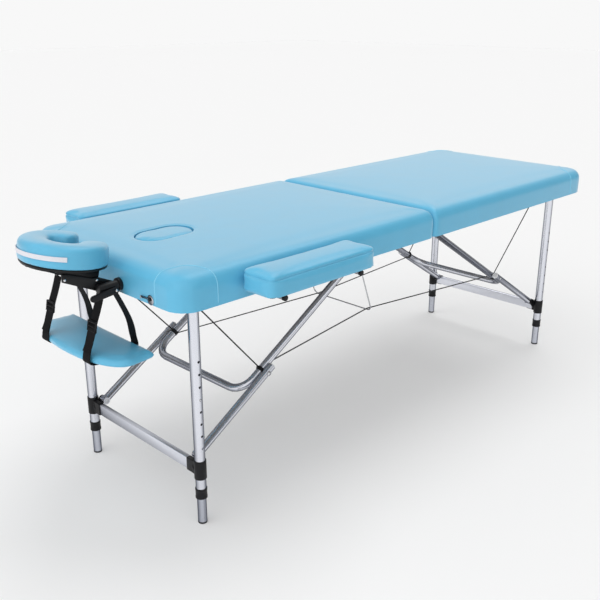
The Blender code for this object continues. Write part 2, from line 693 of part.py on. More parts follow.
def leg_tube(turn, out):
    """An outer leg tube, open below, with its row of adjusting holes facing outwards."""
    x, y = turn * LEG_X, out * LEG_Y
    tube = rod((x, y, COLLAR_BOTTOM_Z), (x, y, LEG_AXIS_Z + LEG_TOP_OVERRUN), LEG_RADIUS)
    bore = rod((x, y, COLLAR_BOTTOM_Z - LEG_RADIUS), (x, y, LEG_AXIS_Z + LEG_TOP_OVERRUN + LEG_RADIUS),
               LEG_RADIUS - LEG_WALL)
    holes = [cross_rod(x, y, y + 2 * out * LEG_RADIUS, TOP_HOLE_Z - i * HOLE_PITCH, HOLE_RADIUS, HOLE_SIDES)
             for i in range(HOLE_COUNT)]
    eye = cross_rod(x, y - 2 * LEG_RADIUS, y + 2 * LEG_RADIUS, LEG_AXIS_Z, AXLE_RADIUS + RUN, SMALL_SIDES)
    return cut(tube, bore, eye, *holes)


def leg_extension(turn, out):
    """The inner leg with its turned foot, bored for the snap button."""
    x, y = turn * LEG_X, out * LEG_Y
    tip = rod((x, y, 0), (x, y, 2 * FOOT_TIP_ROUND), EXTENSION_RADIUS - FOOT_TIP_ROUND)
    leg = join(rod((x, y, FOOT_TIP_ROUND), (x, y, BUTTON_Z + EXTENSION_OVERLAP), EXTENSION_RADIUS), tip)
    deep = EXTENSION_RADIUS - BUTTON_LENGTH - BUTTON_TRAVEL - RUN
    return cut(leg, cross_rod(x, y + out * deep, y + 2 * out * EXTENSION_RADIUS, BUTTON_Z,
                              BUTTON_RADIUS + RUN, SMALL_SIDES))


def snap_button(turn, out):
    """A sprung button with a domed face that stands level with the inner leg's wall."""
    x, y = turn * LEG_X, out * LEG_Y
    face = EXTENSION_RADIUS - RUN
    dome = BUTTON_RADIUS / 3
    rings = []
    for i in range(CAP_STEPS):
        a = math.radians(90 * i / CAP_STEPS)
        rings.append((BUTTON_RADIUS * math.cos(a), face - dome + dome * math.sin(a)))
    rows = [(BUTTON_RADIUS, face - BUTTON_LENGTH)] + rings
    angles = [2 * math.pi * i / SMALL_SIDES for i in range(SMALL_SIDES)]
    return loft([[(x + r * math.cos(a), y + out * d, BUTTON_Z + r * math.sin(a)) for a in angles]
                 for r, d in rows])


def leg_collar(turn, out):
    """A moulded ring pressed on the tube's lower end, waisted between a lip at top and bottom."""
    low, high, waist = COLLAR_BOTTOM_Z, COLLAR_TOP_Z, COLLAR_RADIUS - COLLAR_LIP / 2
    bore = LEG_RADIUS + SEAT
    profile = [(bore, high), (COLLAR_RADIUS, high), (COLLAR_RADIUS, high - 4 * COLLAR_LIP),
               (waist, high - 5 * COLLAR_LIP), (waist, low + 5 * COLLAR_LIP),
               (COLLAR_RADIUS, low + 4 * COLLAR_LIP), (COLLAR_RADIUS, low), (bore, low)]
    return turned(profile, (turn * LEG_X, out * LEG_Y))


def leg_clamp(turn, out):
    """A moulded clamp round the leg, with a block for the crossbar and an ear for the lower strut."""
    x, y = turn * LEG_X, out * LEG_Y
    clamp = rod((x, y, CLAMP_BOTTOM_Z), (x, y, CLAMP_TOP_Z), CLAMP_RADIUS)
    half = CROSSBAR_HEIGHT / 2 + LEG_WALL
    ends = sorted((out * EAR_Y, y))
    block = box((x - CLAMP_BLOCK_HALF, ends[0], CROSSBAR_Z - half),
                (x + CLAMP_BLOCK_HALF, ends[1], CROSSBAR_Z + half))
    joint = (turn * LEG_JOINT.x, LEG_JOINT.z)
    ear_mid = out * (EAR_Y + EAR_THICKNESS / 2)
    ear = side_plate([link_outline(joint, (x, CROSSBAR_Z), EAR_RADIUS)], ear_mid, EAR_THICKNESS)
    pin = cross_rod(joint[0], ear_mid, out * (LOWER_STRUT_Y - STRUT_RADIUS / 2), joint[1],
                    PIVOT_PIN_RADIUS, SMALL_SIDES)
    bore = rod((x, y, CLAMP_BOTTOM_Z - LEG_RADIUS), (x, y, CLAMP_TOP_Z + LEG_RADIUS), LEG_RADIUS + SEAT)
    return cut(join(clamp, block, ear, pin), bore)


def crossbar(turn):
    """A rectangular tube from clamp to clamp, open at its ends."""
    x = turn * LEG_X
    half_t, half_h, half_l = CROSSBAR_THICKNESS / 2, CROSSBAR_HEIGHT / 2, CROSSBAR_HALF_LENGTH
    bar = box((x - half_t, -half_l, CROSSBAR_Z - half_h), (x + half_t, half_l, CROSSBAR_Z + half_h))
    inner_t, inner_h, past = half_t - CROSSBAR_WALL, half_h - CROSSBAR_WALL, half_l + CROSSBAR_WALL
    hollow = box((x - inner_t, -past, CROSSBAR_Z - inner_h), (x + inner_t, past, CROSSBAR_Z + inner_h))
    return cut(bar, hollow)


def upper_strut(turn):
    """One bent tube: two arms from the pivots under the deck, joined past the knuckles by a cross run."""
    end = KNUCKLE + LOOP_OVERRUN * STRUT_LINE
    corners = ((STRUT_PIVOT, -UPPER_STRUT_Y), (end, -UPPER_STRUT_Y),
               (end, UPPER_STRUT_Y), (STRUT_PIVOT, UPPER_STRUT_Y))
    route = [Vector((turn * p.x, y, p.z)) for p, y in corners]
    loop = wire(filleted(route, LOOP_BEND), STRUT_RADIUS, 4)
    x, z = turn * STRUT_PIVOT.x, STRUT_PIVOT.z
    eyes = [cross_rod(x, out * (UPPER_STRUT_Y - STRUT_RADIUS), out * (UPPER_STRUT_Y + STRUT_RADIUS), z,
                      STRUT_RADIUS) for _, out in SIDES]
    reach = UPPER_STRUT_Y + 2 * STRUT_RADIUS
    return cut(join(loop, *eyes), cross_rod(x, -reach, reach, z, AXLE_RADIUS + RUN, SMALL_SIDES))


def lower_strut(turn, out):
    """A straight tube from the clamp's ear to just past the knuckle, with an eye at the ear."""
    y = out * LOWER_STRUT_Y
    joint, top = LEG_JOINT, KNUCKLE - LOWER_OVERRUN * STRUT_LINE
    tube = rod((turn * joint.x, y, joint.z), (turn * top.x, y, top.z), STRUT_RADIUS)
    eye_half = STRUT_RADIUS - RUN
    eye = cross_rod(turn * joint.x, y - eye_half, y + eye_half, joint.z, eye_half)
    bore = cross_rod(turn * joint.x, out * (LOWER_STRUT_Y - STRUT_RADIUS / 2 - RUN),
                     out * (LOWER_STRUT_Y + 2 * STRUT_RADIUS), joint.z, PIVOT_PIN_RADIUS + RUN, SMALL_SIDES)
    return cut(join(tube, eye), bore)


def take_up_bail():
    """A wire bail hinged under the head half, whose lower corners gather the long cables."""
    pin = BAIL_HALF_WIDTH + BAIL_PIN
    half = [Vector((BAIL_X, pin, BAIL_Z)), Vector((BAIL_X, BAIL_HALF_WIDTH, BAIL_Z)),
            Vector((BAIL_FOOT_X, BAIL_HALF_WIDTH, BAIL_FOOT_Z))]
    other = [Vector((p.x, -p.y, p.z)) for p in reversed(half)]
    first = filleted(half, BAIL_WIRE_RADIUS * 1.5, CAP_STEPS)[:-1]
    bottom = filleted(half[1:] + other[:2], BAIL_BEND)[1:-1]
    last = filleted(other, BAIL_WIRE_RADIUS * 1.5, CAP_STEPS)[1:]
    return wire(first + bottom + last, BAIL_WIRE_RADIUS)


def brace_cable(out):
    """One wire rope a side: leg axle, round each upper strut at the knuckle, and over the bail."""
    reach = STRUT_RADIUS + CABLE_RADIUS + SEAT
    across = Vector((-STRUT_LINE.z, 0, STRUT_LINE.x))
    across = across if across.z > 0 else -across
    axle = Vector((LEG_X, LOWER_STRUT_Y - STRUT_RADIUS, LEG_AXIS_Z - AXLE_RADIUS - CABLE_RADIUS - SEAT))
    round_strut = []
    for i in range(CAP_STEPS + 1):
        a = math.radians(90 * i / CAP_STEPS)
        round_strut.append(KNUCKLE + Vector((0, UPPER_STRUT_Y, 0)) + reach
                           * (math.cos(a) * across - math.sin(a) * Vector((0, 1, 0))))
    half = [axle] + round_strut
    gap = BAIL_WIRE_RADIUS + CABLE_RADIUS + SEAT
    bail = [Vector((BAIL_FOOT_X, BAIL_HALF_WIDTH - BAIL_BEND, BAIL_FOOT_Z + gap))]
    route = [Vector((-p.x, p.y, p.z)) for p in half] + bail + list(reversed(half))
    return wire([(p.x, out * p.y, p.z) for p in route], CABLE_RADIUS)


def armrest_pad(out):
    """A small wrapped cushion with a welt below its top edge, hollow below for its base board."""
    half = ARMREST_WIDTH / 2
    pad = upholstery(*ARMREST_X, half, ARMREST_BOTTOM_Z, ARMREST_BOTTOM_Z + ARMREST_HEIGHT,
                     (ARMREST_SKIN, ARMREST_BOTTOM_Z + ARMREST_BASE_THICKNESS - ARMREST_BASE_PROUD + SEAT),
                     (ARMREST_CORNER, ARMREST_CORNER), (ARMREST_EDGE_ROUND, ARMREST_EDGE_ROUND),
                     ARMREST_EDGE_ROUND, ARMREST_CROWN, ARMREST_SEAM_DEPTH, SMALL_ARC_STEPS)
    pad.data.transform(Matrix.Translation((0, out * (DECK_HALF_WIDTH + ARMREST_GAP + half), 0)))
    return pad


def armrest_frame(out):
    """The armrest's base board with its two plug-in rods and their end caps."""
    inset = ARMREST_SKIN + SEAT
    y0 = DECK_HALF_WIDTH + ARMREST_GAP + inset
    y1 = DECK_HALF_WIDTH + ARMREST_GAP + ARMREST_WIDTH - inset
    ends = sorted((out * y0, out * y1))
    corner = ARMREST_CORNER - inset
    outline = rounded_rectangle(ARMREST_X[0] + inset, ARMREST_X[1] - inset, (y1 - y0) / 2, corner, corner)
    mid_z = ARMREST_BOTTOM_Z - ARMREST_BASE_PROUD + ARMREST_BASE_THICKNESS / 2
    base = plate([outline], ARMREST_BASE_THICKNESS, Matrix.Translation((0, sum(ends) / 2, mid_z)))
    outer = y1 + inset - ROD_CAP_INSET
    rods = [cross_rod(x, out * ROD_INNER_Y, out * (outer - ROD_SINK), ROD_Z, ROD_RADIUS) for x in ROD_X]
    caps = [cross_rod(x, out * (outer - ROD_CAP_LENGTH), out * outer, ROD_Z, ROD_CAP_RADIUS)
            for x in ROD_X]
    return join(base, *rods, *caps)


def latch_plate(out):
    """The latch's bright plate on the head end, with the stud that the hook turns on."""
    face = HEAD_X - SEAT
    half = LATCH_PLATE_WIDTH / 2
    outline = rounded_rectangle(-half, half, LATCH_PLATE_HEIGHT / 2, SKIRT, SKIRT)
    mid_z = DECK_BOTTOM_Z + SEAT + LATCH_PLATE_HEIGHT / 2
    outline = [(out * LATCH_Y + u, mid_z + v) for u, v in outline]
    base = end_plate([outline], face - LATCH_PLATE_THICKNESS / 2, LATCH_PLATE_THICKNESS)
    z = DECK_BOTTOM_Z + LATCH_PIVOT_RISE
    outer = face - LATCH_PLATE_THICKNESS - LATCH_HOOK_THICKNESS - 2 * SEAT
    stud = rod((face - LATCH_PLATE_THICKNESS / 2, out * LATCH_Y, z), (outer - SEAT, out * LATCH_Y, z),
               LATCH_PIVOT_RADIUS, SMALL_SIDES)
    return join(base, stud)


def latch_hook(out):
    """A flat hook that lies level and turns down over the keeper's pin when the table is folded."""
    y, z = out * LATCH_Y, DECK_BOTTOM_Z + LATCH_PIVOT_RISE
    reach = LATCH_PIVOT_RISE + 2 * HINGE_AXIS_DROP + KEEPER_PIN_RISE
    tip = (y - out * reach, z)
    hook = end_plate([link_outline((y, z), tip, LATCH_HOOK_RADIUS)],
                     HEAD_X - 2 * SEAT - LATCH_PLATE_THICKNESS - LATCH_HOOK_THICKNESS / 2,
                     LATCH_HOOK_THICKNESS)
    x0, x1 = HEAD_X, HEAD_X - 4 * LATCH_HOOK_RADIUS
    catch = KEEPER_PIN_RADIUS + FOLD_CLEAR / 2
    mouth = box((x1, tip[0] - catch, z - 2 * LATCH_HOOK_RADIUS), (x0, tip[0] + catch, z))
    return cut(hook, rod((x0, y, z), (x1, y, z), LATCH_PIVOT_RADIUS + RUN, SMALL_SIDES),
               rod((x0, *tip), (x1, *tip), catch, SMALL_SIDES), mouth)


def cradle_frame():
    """Black steel carrier: posts that plug into the head rail, sleeves, wedge arms and a cross tube."""
    face = HEAD_X - SEAT
    sleeve_end = face - FLANGE_THICKNESS - SLEEVE_LENGTH
    arm_bottom = POST_Z - SLEEVE_RADIUS
    tip, tip_low = HEAD_X - ARM_REACH, DECK_BOTTOM_Z + ARM_TIP_RISE
    tip_top, ear_top = tip_low + ARM_TIP_HEIGHT, TILT_PIVOT_Z + 2 * TILT_PIN_RADIUS
    root = face - FLANGE_THICKNESS
    outline = [(tip, tip_low), (sleeve_end + SLEEVE_RADIUS, arm_bottom), (root, arm_bottom),
               (root, POST_Z + SLEEVE_RADIUS / 2), (TILT_PIVOT_X + EAR_RADIUS / 2, ear_top),
               (TILT_PIVOT_X - EAR_RADIUS, ear_top), (tip + EAR_RADIUS, tip_top), (tip, tip_top)]
    pieces = []
    for _, out in SIDES:
        y = out * POST_Y
        pieces += [rod((face + POST_DEPTH, y, POST_Z), (sleeve_end + SLEEVE_RADIUS, y, POST_Z), POST_RADIUS),
                   rod((face, y, POST_Z), (face - FLANGE_THICKNESS, y, POST_Z), FLANGE_RADIUS),
                   rod((face - FLANGE_THICKNESS / 2, y, POST_Z), (sleeve_end, y, POST_Z), SLEEVE_RADIUS),
                   side_plate([outline], out * ARM_PLATE_Y, ARM_PLATE_THICKNESS),
                   cross_rod(TILT_PIVOT_X, out * (ARM_PLATE_Y - 2 * ARM_PLATE_THICKNESS),
                             out * (ARM_PLATE_Y + ARM_PLATE_THICKNESS), TILT_PIVOT_Z, TILT_PIN_RADIUS,
                             SMALL_SIDES)]
    brace = cross_rod(sleeve_end + SLEEVE_RADIUS, -ARM_PLATE_Y, ARM_PLATE_Y, POST_Z, POST_RADIUS)
    lever_end = -POST_Y - SLEEVE_RADIUS - LEVER_GAP - LEVER_THICKNESS
    stud = cross_rod(LEVER_X, -POST_Y, lever_end - 2 * SEAT, LEVER_Z, LEVER_PIN_RADIUS, SMALL_SIDES)
    return join(brace, *pieces, stud)


def cushion_path(count):
    """Plan points and outward normals along the crescent, mouth towards the deck."""
    for i in range(count + 1):
        t = math.radians(CUSHION_MOUTH + (360 - 2 * CUSHION_MOUTH) * i / count)
        normal = Vector((math.cos(t) / CUSHION_PATH_X, math.sin(t) / CUSHION_PATH_Y)).normalized()
        yield Vector((CUSHION_X + CUSHION_PATH_X * math.cos(t), CUSHION_PATH_Y * math.sin(t))), normal


def head_rest_plate():
    """The crescent plate under the face cushion, with a front lip and a tab inside each wedge arm."""
    path = list(cushion_path(28))
    outer = [tuple(p + n * PLATE_WIDTH / 2) for p, n in path]
    inner = [tuple(p - n * PLATE_WIDTH / 2) for p, n in reversed(path)]
    mid = PLATE_BOTTOM_Z + PLATE_THICKNESS / 2
    body = plate([outer + inner], PLATE_THICKNESS, Matrix.Translation((0, 0, mid)))
    tab_y = ARM_PLATE_Y - ARM_PLATE_THICKNESS / 2 - RUN - TAB_THICKNESS / 2
    low = TILT_PIVOT_Z - EAR_RADIUS / 2
    front = CUSHION_X - CUSHION_PATH_X
    outline = [(front, mid), (front, PLATE_BOTTOM_Z - PLATE_THICKNESS), (TILT_PIVOT_X - EAR_RADIUS, low),
               (TILT_PIVOT_X + EAR_RADIUS / 2, low), (TILT_PIVOT_X + EAR_RADIUS, mid)]
    bend = path[len(path) // 2 - LIP_STEPS:len(path) // 2 + LIP_STEPS + 1]
    rim = PLATE_WIDTH / 2 - TAB_THICKNESS
    edge = [tuple(p + n * rim) for p, n in bend]
    edge += [tuple(p + n * (rim - TAB_THICKNESS)) for p, n in reversed(bend)]
    lip = plate([edge], LIP_DEPTH, Matrix.Translation((0, 0, mid - LIP_DEPTH / 2)))
    join(body, lip, *[side_plate([outline], out * tab_y, TAB_THICKNESS) for _, out in SIDES])
    cut(body, *[cross_rod(TILT_PIVOT_X, out * (tab_y - TAB_THICKNESS), out * (tab_y + TAB_THICKNESS),
                          TILT_PIVOT_Z, TILT_PIN_RADIUS + RUN, SMALL_SIDES) for _, out in SIDES])
    body.data.transform(LEAN)
    return body


def face_cushion():
    """The crescent face cushion: flat below, full at the sides, rounded over the top and at both ends."""
    half = CUSHION_WIDTH / 2
    path = list(cushion_path(32))
    ends = []
    for (p, n), turn in ((path[0], 1), (path[-1], -1)):
        along = Vector((n.y, -n.x)) * turn
        cap = []
        for i in range(1, CAP_STEPS):
            a = math.radians(90 * i / CAP_STEPS)
            cap.append((p + along * half * CUSHION_END_REACH * math.sin(a), n, math.cos(a)))
        ends.append(cap)
    stations = list(reversed(ends[0])) + [(p, n, 1.0) for p, n in path] + ends[1]
    rings = []
    for p, n, share in stations:
        height = CUSHION_HEIGHT * (CUSHION_END_HEIGHT + (1 - CUSHION_END_HEIGHT) * share)
        wide = half * share
        rings.append([(p.x + n.x * u * wide, p.y + n.y * u * wide, CUSHION_BOTTOM_Z + v * height)
                      for u, v in CUSHION_SECTION])
    cushion = loft(rings)
    cushion.data.transform(LEAN)
    return cushion


def cam_lever():
    """The locking lever beside the near post, a flat bar with a thumb end."""
    y = -POST_Y - SLEEVE_RADIUS - LEVER_GAP - LEVER_THICKNESS / 2
    pivot = (LEVER_X, LEVER_Z)
    tip = (LEVER_X - LEVER_LENGTH, LEVER_Z - LEVER_RADIUS)
    lever = side_plate([link_outline(pivot, tip, LEVER_RADIUS)], y, LEVER_THICKNESS)
    return cut(lever, cross_rod(LEVER_X, y - LEVER_THICKNESS, y + LEVER_THICKNESS, LEVER_Z,
                                LEVER_PIN_RADIUS + RUN, SMALL_SIDES))


def board_outline():
    """Half the sling board's plan from the back corner to the middle of its curved front, both sides."""
    half = [(BOARD_BACK_X, BOARD_BACK_HALF), (BOARD_SHOULDER_X, BOARD_SHOULDER_HALF)]
    for i in range(1, 2 * ARC_STEPS + 1):
        t = math.radians(90 * i / (2 * ARC_STEPS))
        x = BOARD_SHOULDER_X + (BOARD_FRONT_X - BOARD_SHOULDER_X) * math.sin(t) ** BOARD_CURVE_X
        half.append((x, BOARD_SHOULDER_HALF * math.cos(t) ** BOARD_CURVE_Y))
    half[-1] = (BOARD_FRONT_X, 0.0)
    return half + [(x, -y) for x, y in reversed(half[:-1])]


def sling_board():
    """The padded forearm board: soft rounded rim and a slight crown."""
    outline = [Vector(p) for p in board_outline()]
    centre = Vector(((BOARD_BACK_X + BOARD_FRONT_X) / 2, 0))
    depth = (BOARD_BACK_X - BOARD_FRONT_X) / 2
    low = BOARD_TOP_Z - BOARD_THICKNESS
    edge = BOARD_THICKNESS / 3

    def ring(inset, z):
        return [(p.x + (centre.x - p.x) * inset / depth, p.y * (1 - inset / BOARD_SHOULDER_HALF), z)
                for p in outline]

    rows = [(edge, low), (edge / 3, low + edge / 3), (0, low + edge), (0, BOARD_TOP_Z - 1.3 * edge),
            (edge / 3, BOARD_TOP_Z - 0.6 * edge), (edge, BOARD_TOP_Z - 0.25 * edge),
            (depth / 2, BOARD_TOP_Z)]
    return loft([ring(inset, z) for inset, z in rows])


def sling_strap(out):
    """A closed loop of webbing from under the sleeve round the board, with its slider buckle."""
    gap = STRAP_THICKNESS / 2 + SEAT
    top = POST_Z - SLEEVE_RADIUS - gap
    low = BOARD_TOP_Z - BOARD_THICKNESS - gap
    y = out * STRAP_Y
    share = (1 - (STRAP_Y / BOARD_SHOULDER_HALF) ** (2 / BOARD_CURVE_Y)) ** (BOARD_CURVE_X / 2)
    front = BOARD_SHOULDER_X + (BOARD_FRONT_X - BOARD_SHOULDER_X) * share - 3 * gap
    rear = BOARD_BACK_X + gap
    edge = BOARD_THICKNESS / 3
    middle = [Vector(p) for p in ((HEAD_X - STRAP_REAR_OUT, top), (rear, BOARD_TOP_Z + edge), (rear, low),
                                  (front, low), (front, BOARD_TOP_Z - edge),
                                  (HEAD_X - STRAP_FRONT_OUT, top))]
    outer, inner = offset_loop(middle, STRAP_THICKNESS / 2), offset_loop(middle, -STRAP_THICKNESS / 2)
    strap = side_plate([outer, inner], y, STRAP_WIDTH)
    run = (middle[5] - middle[4]).normalized()
    spot = middle[4] + (middle[5] - middle[4]) * SLIDER_SHARE
    slider = box((-SLIDER_THICKNESS / 2, -SLIDER_WIDTH / 2, -SLIDER_LENGTH / 2),
                 (SLIDER_THICKNESS / 2, SLIDER_WIDTH / 2, SLIDER_LENGTH / 2))
    lean = math.atan2(run.x, run.y)
    slider.data.transform(Matrix.Translation((spot.x, y, spot.y)) @ Matrix.Rotation(lean, 4, "Y"))
    return join(strap, slider)


def offset_loop(points, distance):
    """Move a closed plane loop sideways by a distance, with mitred corners."""
    moved = []
    for i, point in enumerate(points):
        before, after = points[i - 1], points[(i + 1) % len(points)]
        u, v = (point - before).normalized(), (after - point).normalized()
        normal = (Vector((u.y, -u.x)) + Vector((v.y, -v.x))).normalized()
        moved.append(tuple(point + normal * distance / max(normal.dot(Vector((u.y, -u.x))), MITRE_LIMIT)))
    return moved


def build_end(end, turn):
    deck, frame = end + "_deck", end + "_leg_frame"
    place(deck_rails(end), end + "_rails", deck, "polished_aluminium")
    place(deck_panel(end), end + "_panel", deck, "plywood")
    place(deck_pad(end), end + "_pad", deck, "sky_blue_vinyl")
    place(hinge_leaf(turn), end + "_hinge_leaf", deck, "bright_steel")
    axle_half = RAIL_INNER_Y - SEAT
    for name, x, z in (("leg_axle", LEG_X, LEG_AXIS_Z), ("strut_axle", STRUT_PIVOT.x, STRUT_PIVOT.z)):
        place(cross_rod(turn * x, -axle_half, axle_half, z, AXLE_RADIUS, SMALL_SIDES), f"{end}_{name}", deck,
              "bright_steel")
    place(crossbar(turn), end + "_crossbar", frame, "polished_aluminium")
    place(upper_strut(turn), end + "_upper_strut", end + "_upper_strut", "polished_aluminium")
    for side, out in SIDES:
        corner = f"{end}_{side}_"
        place(leg_tube(turn, out), corner + "leg_tube", frame, "polished_aluminium")
        place(leg_collar(turn, out), corner + "collar", frame, "black_nylon")
        place(leg_clamp(turn, out), corner + "clamp", frame, "black_nylon")
        place(leg_extension(turn, out), corner + "leg_extension", corner + "extension", "polished_aluminium")
        place(snap_button(turn, out), corner + "snap_button", corner + "button", "bright_steel")
        place(lower_strut(turn, out), corner + "lower_strut", end + "_lower_struts", "polished_aluminium")


def build_fittings():
    half = HINGE_LENGTH / 2
    place(cross_rod(0, -half, half, HINGE_AXIS_Z, HINGE_PIN_RADIUS, SMALL_SIDES), "hinge_pin", "head_deck",
          "bright_steel")
    place(face_plug(), "face_plug", "face_plug", "sky_blue_vinyl")
    place(take_up_bail(), "take_up_bail", "take_up_bail", "bright_steel")
    place(cradle_frame(), "cradle_frame", "cradle", "black_steel")
    place(head_rest_plate(), "head_rest_plate", "head_rest", "black_steel")
    place(face_cushion(), "face_cushion", "head_rest", "sky_blue_vinyl")
    place(cam_lever(), "cam_lever", "cam_lever", "black_nylon")
    place(sling_board(), "sling_board", "cradle", "sky_blue_vinyl")
    for side, out in SIDES:
        place(brace_cable(out), side + "_brace_cable", "head_deck", "coated_cable")
        place(armrest_pad(out), side + "_armrest_pad", side + "_armrest", "sky_blue_vinyl")
        place(armrest_frame(out), side + "_armrest_frame", side + "_armrest", "bright_steel")
        place(latch_plate(out), side + "_latch_plate", "head_deck", "bright_steel")
        place(latch_hook(out), side + "_latch_hook", side + "_latch", "bright_steel")
        place(sling_strap(out), side + "_sling_strap", "cradle", "black_webbing")


clear_scene()
SIDES = (("near", -1), ("far", 1))
PARTS = new_collection("massage_table")
CUTTERS = new_collection("cutters")
PIVOTS, EMPTIES = {}, {}
make_bodies()
build_end("head", -1)
build_end("foot", 1)
build_fittings()
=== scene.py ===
"""Dress a folding massage table: stuffed vinyl, polished tube, moulded and woven pieces on the frame."""

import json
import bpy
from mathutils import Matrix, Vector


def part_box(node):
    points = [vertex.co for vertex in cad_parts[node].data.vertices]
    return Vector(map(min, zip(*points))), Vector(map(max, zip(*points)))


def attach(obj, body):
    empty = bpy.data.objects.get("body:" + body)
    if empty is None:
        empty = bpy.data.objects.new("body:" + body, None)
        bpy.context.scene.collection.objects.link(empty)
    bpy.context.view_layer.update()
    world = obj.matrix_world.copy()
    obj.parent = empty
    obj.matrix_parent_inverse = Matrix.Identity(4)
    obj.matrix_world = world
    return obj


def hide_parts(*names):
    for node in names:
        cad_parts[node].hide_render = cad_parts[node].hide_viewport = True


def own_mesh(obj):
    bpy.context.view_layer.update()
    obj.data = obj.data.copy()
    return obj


bl_info = {
    "name": "Folding Massage Table",
    "version": (1, 0, 0),
    "blender": (4, 5, 0),
    "location": "3D View > Sidebar > Massage Table",
    "description": "Dresses a folding massage table with upholstery, tube, moulded and woven pieces",
    "category": "Object",
}

from math import cos, pi, radians, sin, tan

import bmesh
import bpy
import numpy as np
from mathutils import Matrix, Vector
from mathutils.bvhtree import BVHTree

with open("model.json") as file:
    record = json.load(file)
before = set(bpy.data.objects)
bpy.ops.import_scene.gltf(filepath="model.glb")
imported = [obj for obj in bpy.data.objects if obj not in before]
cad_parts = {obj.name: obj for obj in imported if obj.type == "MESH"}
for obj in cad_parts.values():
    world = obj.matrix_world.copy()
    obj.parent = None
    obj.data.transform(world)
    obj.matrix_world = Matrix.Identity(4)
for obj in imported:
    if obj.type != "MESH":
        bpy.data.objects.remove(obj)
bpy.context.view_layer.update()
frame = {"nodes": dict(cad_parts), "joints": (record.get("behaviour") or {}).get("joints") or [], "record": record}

# The head end is at -X, the near side at -Y and the deck halves meet over the centre hinge.
ENDS = (("head", -1), ("foot", 1))
SIDES = (("near", -1), ("far", 1))
MM = 0.001
JOINTS = {joint["name"]: joint for joint in frame["joints"]}
DECK_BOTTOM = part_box("head_pad")[0].z
HINGE_X = (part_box("head_pad")[1].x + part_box("foot_pad")[0].x) / 2

# Camera: place from the hinge in metres, turn and dip in degrees, lens and sensor in millimetres.
CAMERA_X, CAMERA_Y, CAMERA_Z = -1.905, -1.672, 1.243
CAMERA_TURN, CAMERA_DIP = radians(44.94), radians(19.81)
LENS, SENSOR, SIGHT = 48.21, 36.0, 60.0

# Studio: a large soft fill low at the head end and a little to the near side, and a wide key from above.
FILL_FROM, FILL_STRENGTH = (-0.98, -0.12, 0.15), 1.85
KEY_WAY, KEY_STRENGTH, KEY_SPREAD = (-0.45, -0.10, -1.0), 1.15, radians(40)
SIDE_WALLS = (0.707, -0.707, 0.0)
FLOOR_REACH, FLOOR_SHADE, FLOOR_GLOW = 25, 0.70, 0.28

# Shading: edges over these angles stay crisp, on a cut solid and on an eased or folded one.
CRISP, EASED = radians(35), radians(50)
# Cleaning: faces that turn less than this are one face, and points nearer than this are one point.
FLAT, WELD = radians(1), 1e-6

# Stuffing: steps, quality and pressure of the swelling, and the smoothing that follows.
SWELL_FRAMES, SWELL_QUALITY, SWELL_PRESSURE = 16, 4, 4.0
SMOOTH_FACTOR, SMOOTH_ROUNDS = 0.5, 6
CORNER_STEPS, EDGE_STEPS, LEAST_CORNER = 8, 10, 0.003
CROWN_SHARES = (0.2, 0.4, 0.6, 0.85)

# Deck: plan corners and edge rounds at the outer end and at the split, and the shape of its top.
DECK_CORNERS, DECK_ROUNDS = (0.055, 0.012), (0.034, 0.020)
DECK_DROP, DECK_CROWN, DECK_DRAW, DECK_INSET = 0.030, 0.006, 0.0003, 0.3 * MM
DECK_VOXEL, DECK_SWELL, RAIL_HOLD = 7 * MM, 2 * MM, 4 * MM

# Corner patches: how far their line is traced off the skin, and the rounding that it follows.
WELT_POINTS, WELT_SIDES, WELT_CLEAR, WELT_FOOT = 90, 8, 8 * MM, 2 * MM
SHOULDER_DROP, SHOULDER_ROUND, SHOULDER_BULGE = 36 * MM, 34 * MM, 1.3

# Hem and face hole: where the skin is cut and turned in, and the hole's drawn rim.
HEM_CUT, HEM_DROP, HEM_IN_X, HEM_KEEP_Y = 9 * MM, 0.2 * MM, 0.022, 0.967
PLUG_LOW, PLUG_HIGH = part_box("face_plug")
HOLE_MIDDLE = (PLUG_LOW + PLUG_HIGH) / 2
HOLE_SIZE = PLUG_HIGH - PLUG_LOW + Vector((2.4, 2.4, 0)) * MM
HOLE_HALF = (HOLE_SIZE.x - HOLE_SIZE.y) / 2
HOLE_DEPTH, HOLE_WIDTH, HOLE_LIP, HOLE_FACING = 2.2 * MM, 7 * MM, 1.5 * MM, 0.2
FOAM_Z = PLUG_LOW.z

# Armrests: plan corners, edge rounds, drop, crown and drawn side of the cushion.
ARM_CORNERS, ARM_ROUNDS, ARM_DROP, ARM_CROWN, ARM_DRAW = (0.019, 0.019), (0.013, 0.013), 0.012, 0.003, 0.0015
# Its seam below the top and the bead above that, and how far in from its edges the board and the rods are.
ARM_SEAM, ARM_BEAD, ARM_BOARD, ARM_ROD = 14 * MM, 6 * MM, 14.3 * MM, 51 * MM
PAD_VOXEL = 4 * MM

# Face cushion: its lean, its reach along and across, its half width and height, and half its mouth's turn.
CUSHION_LEAN, CUSHION_REACH = radians(8), Vector((63, 83)) * MM
CUSHION_HALF, CUSHION_TALL, CUSHION_MOUTH = 36 * MM, 53 * MM, 42.0
# Front bolt of each cradle arm: along from the hinge, out from the middle and up from the floor.
BOLT_X, BOLT_Y, BOLT_Z = -1.066, 87 * MM, 0.6725

# Bolt heads: shares of the head's radius, and millimetres along the bolt.
DOMED_HEAD = ((0.5, -2), (1, -1), (1, 1.2), (0.8, 2.4), (0.3, 3))
THIN_HEAD = ((0.5, -2), (1, -1), (1, 0.3), (0.85, 0.5))


def linear(hex_colour):
    """Turn an sRGB hex colour into linear RGB."""
    parts = [int(hex_colour[i:i + 2], 16) / 255 for i in (1, 3, 5)]
    return [c / 12.92 if c <= 0.04045 else ((c + 0.055) / 1.055) ** 2.4 for c in parts]


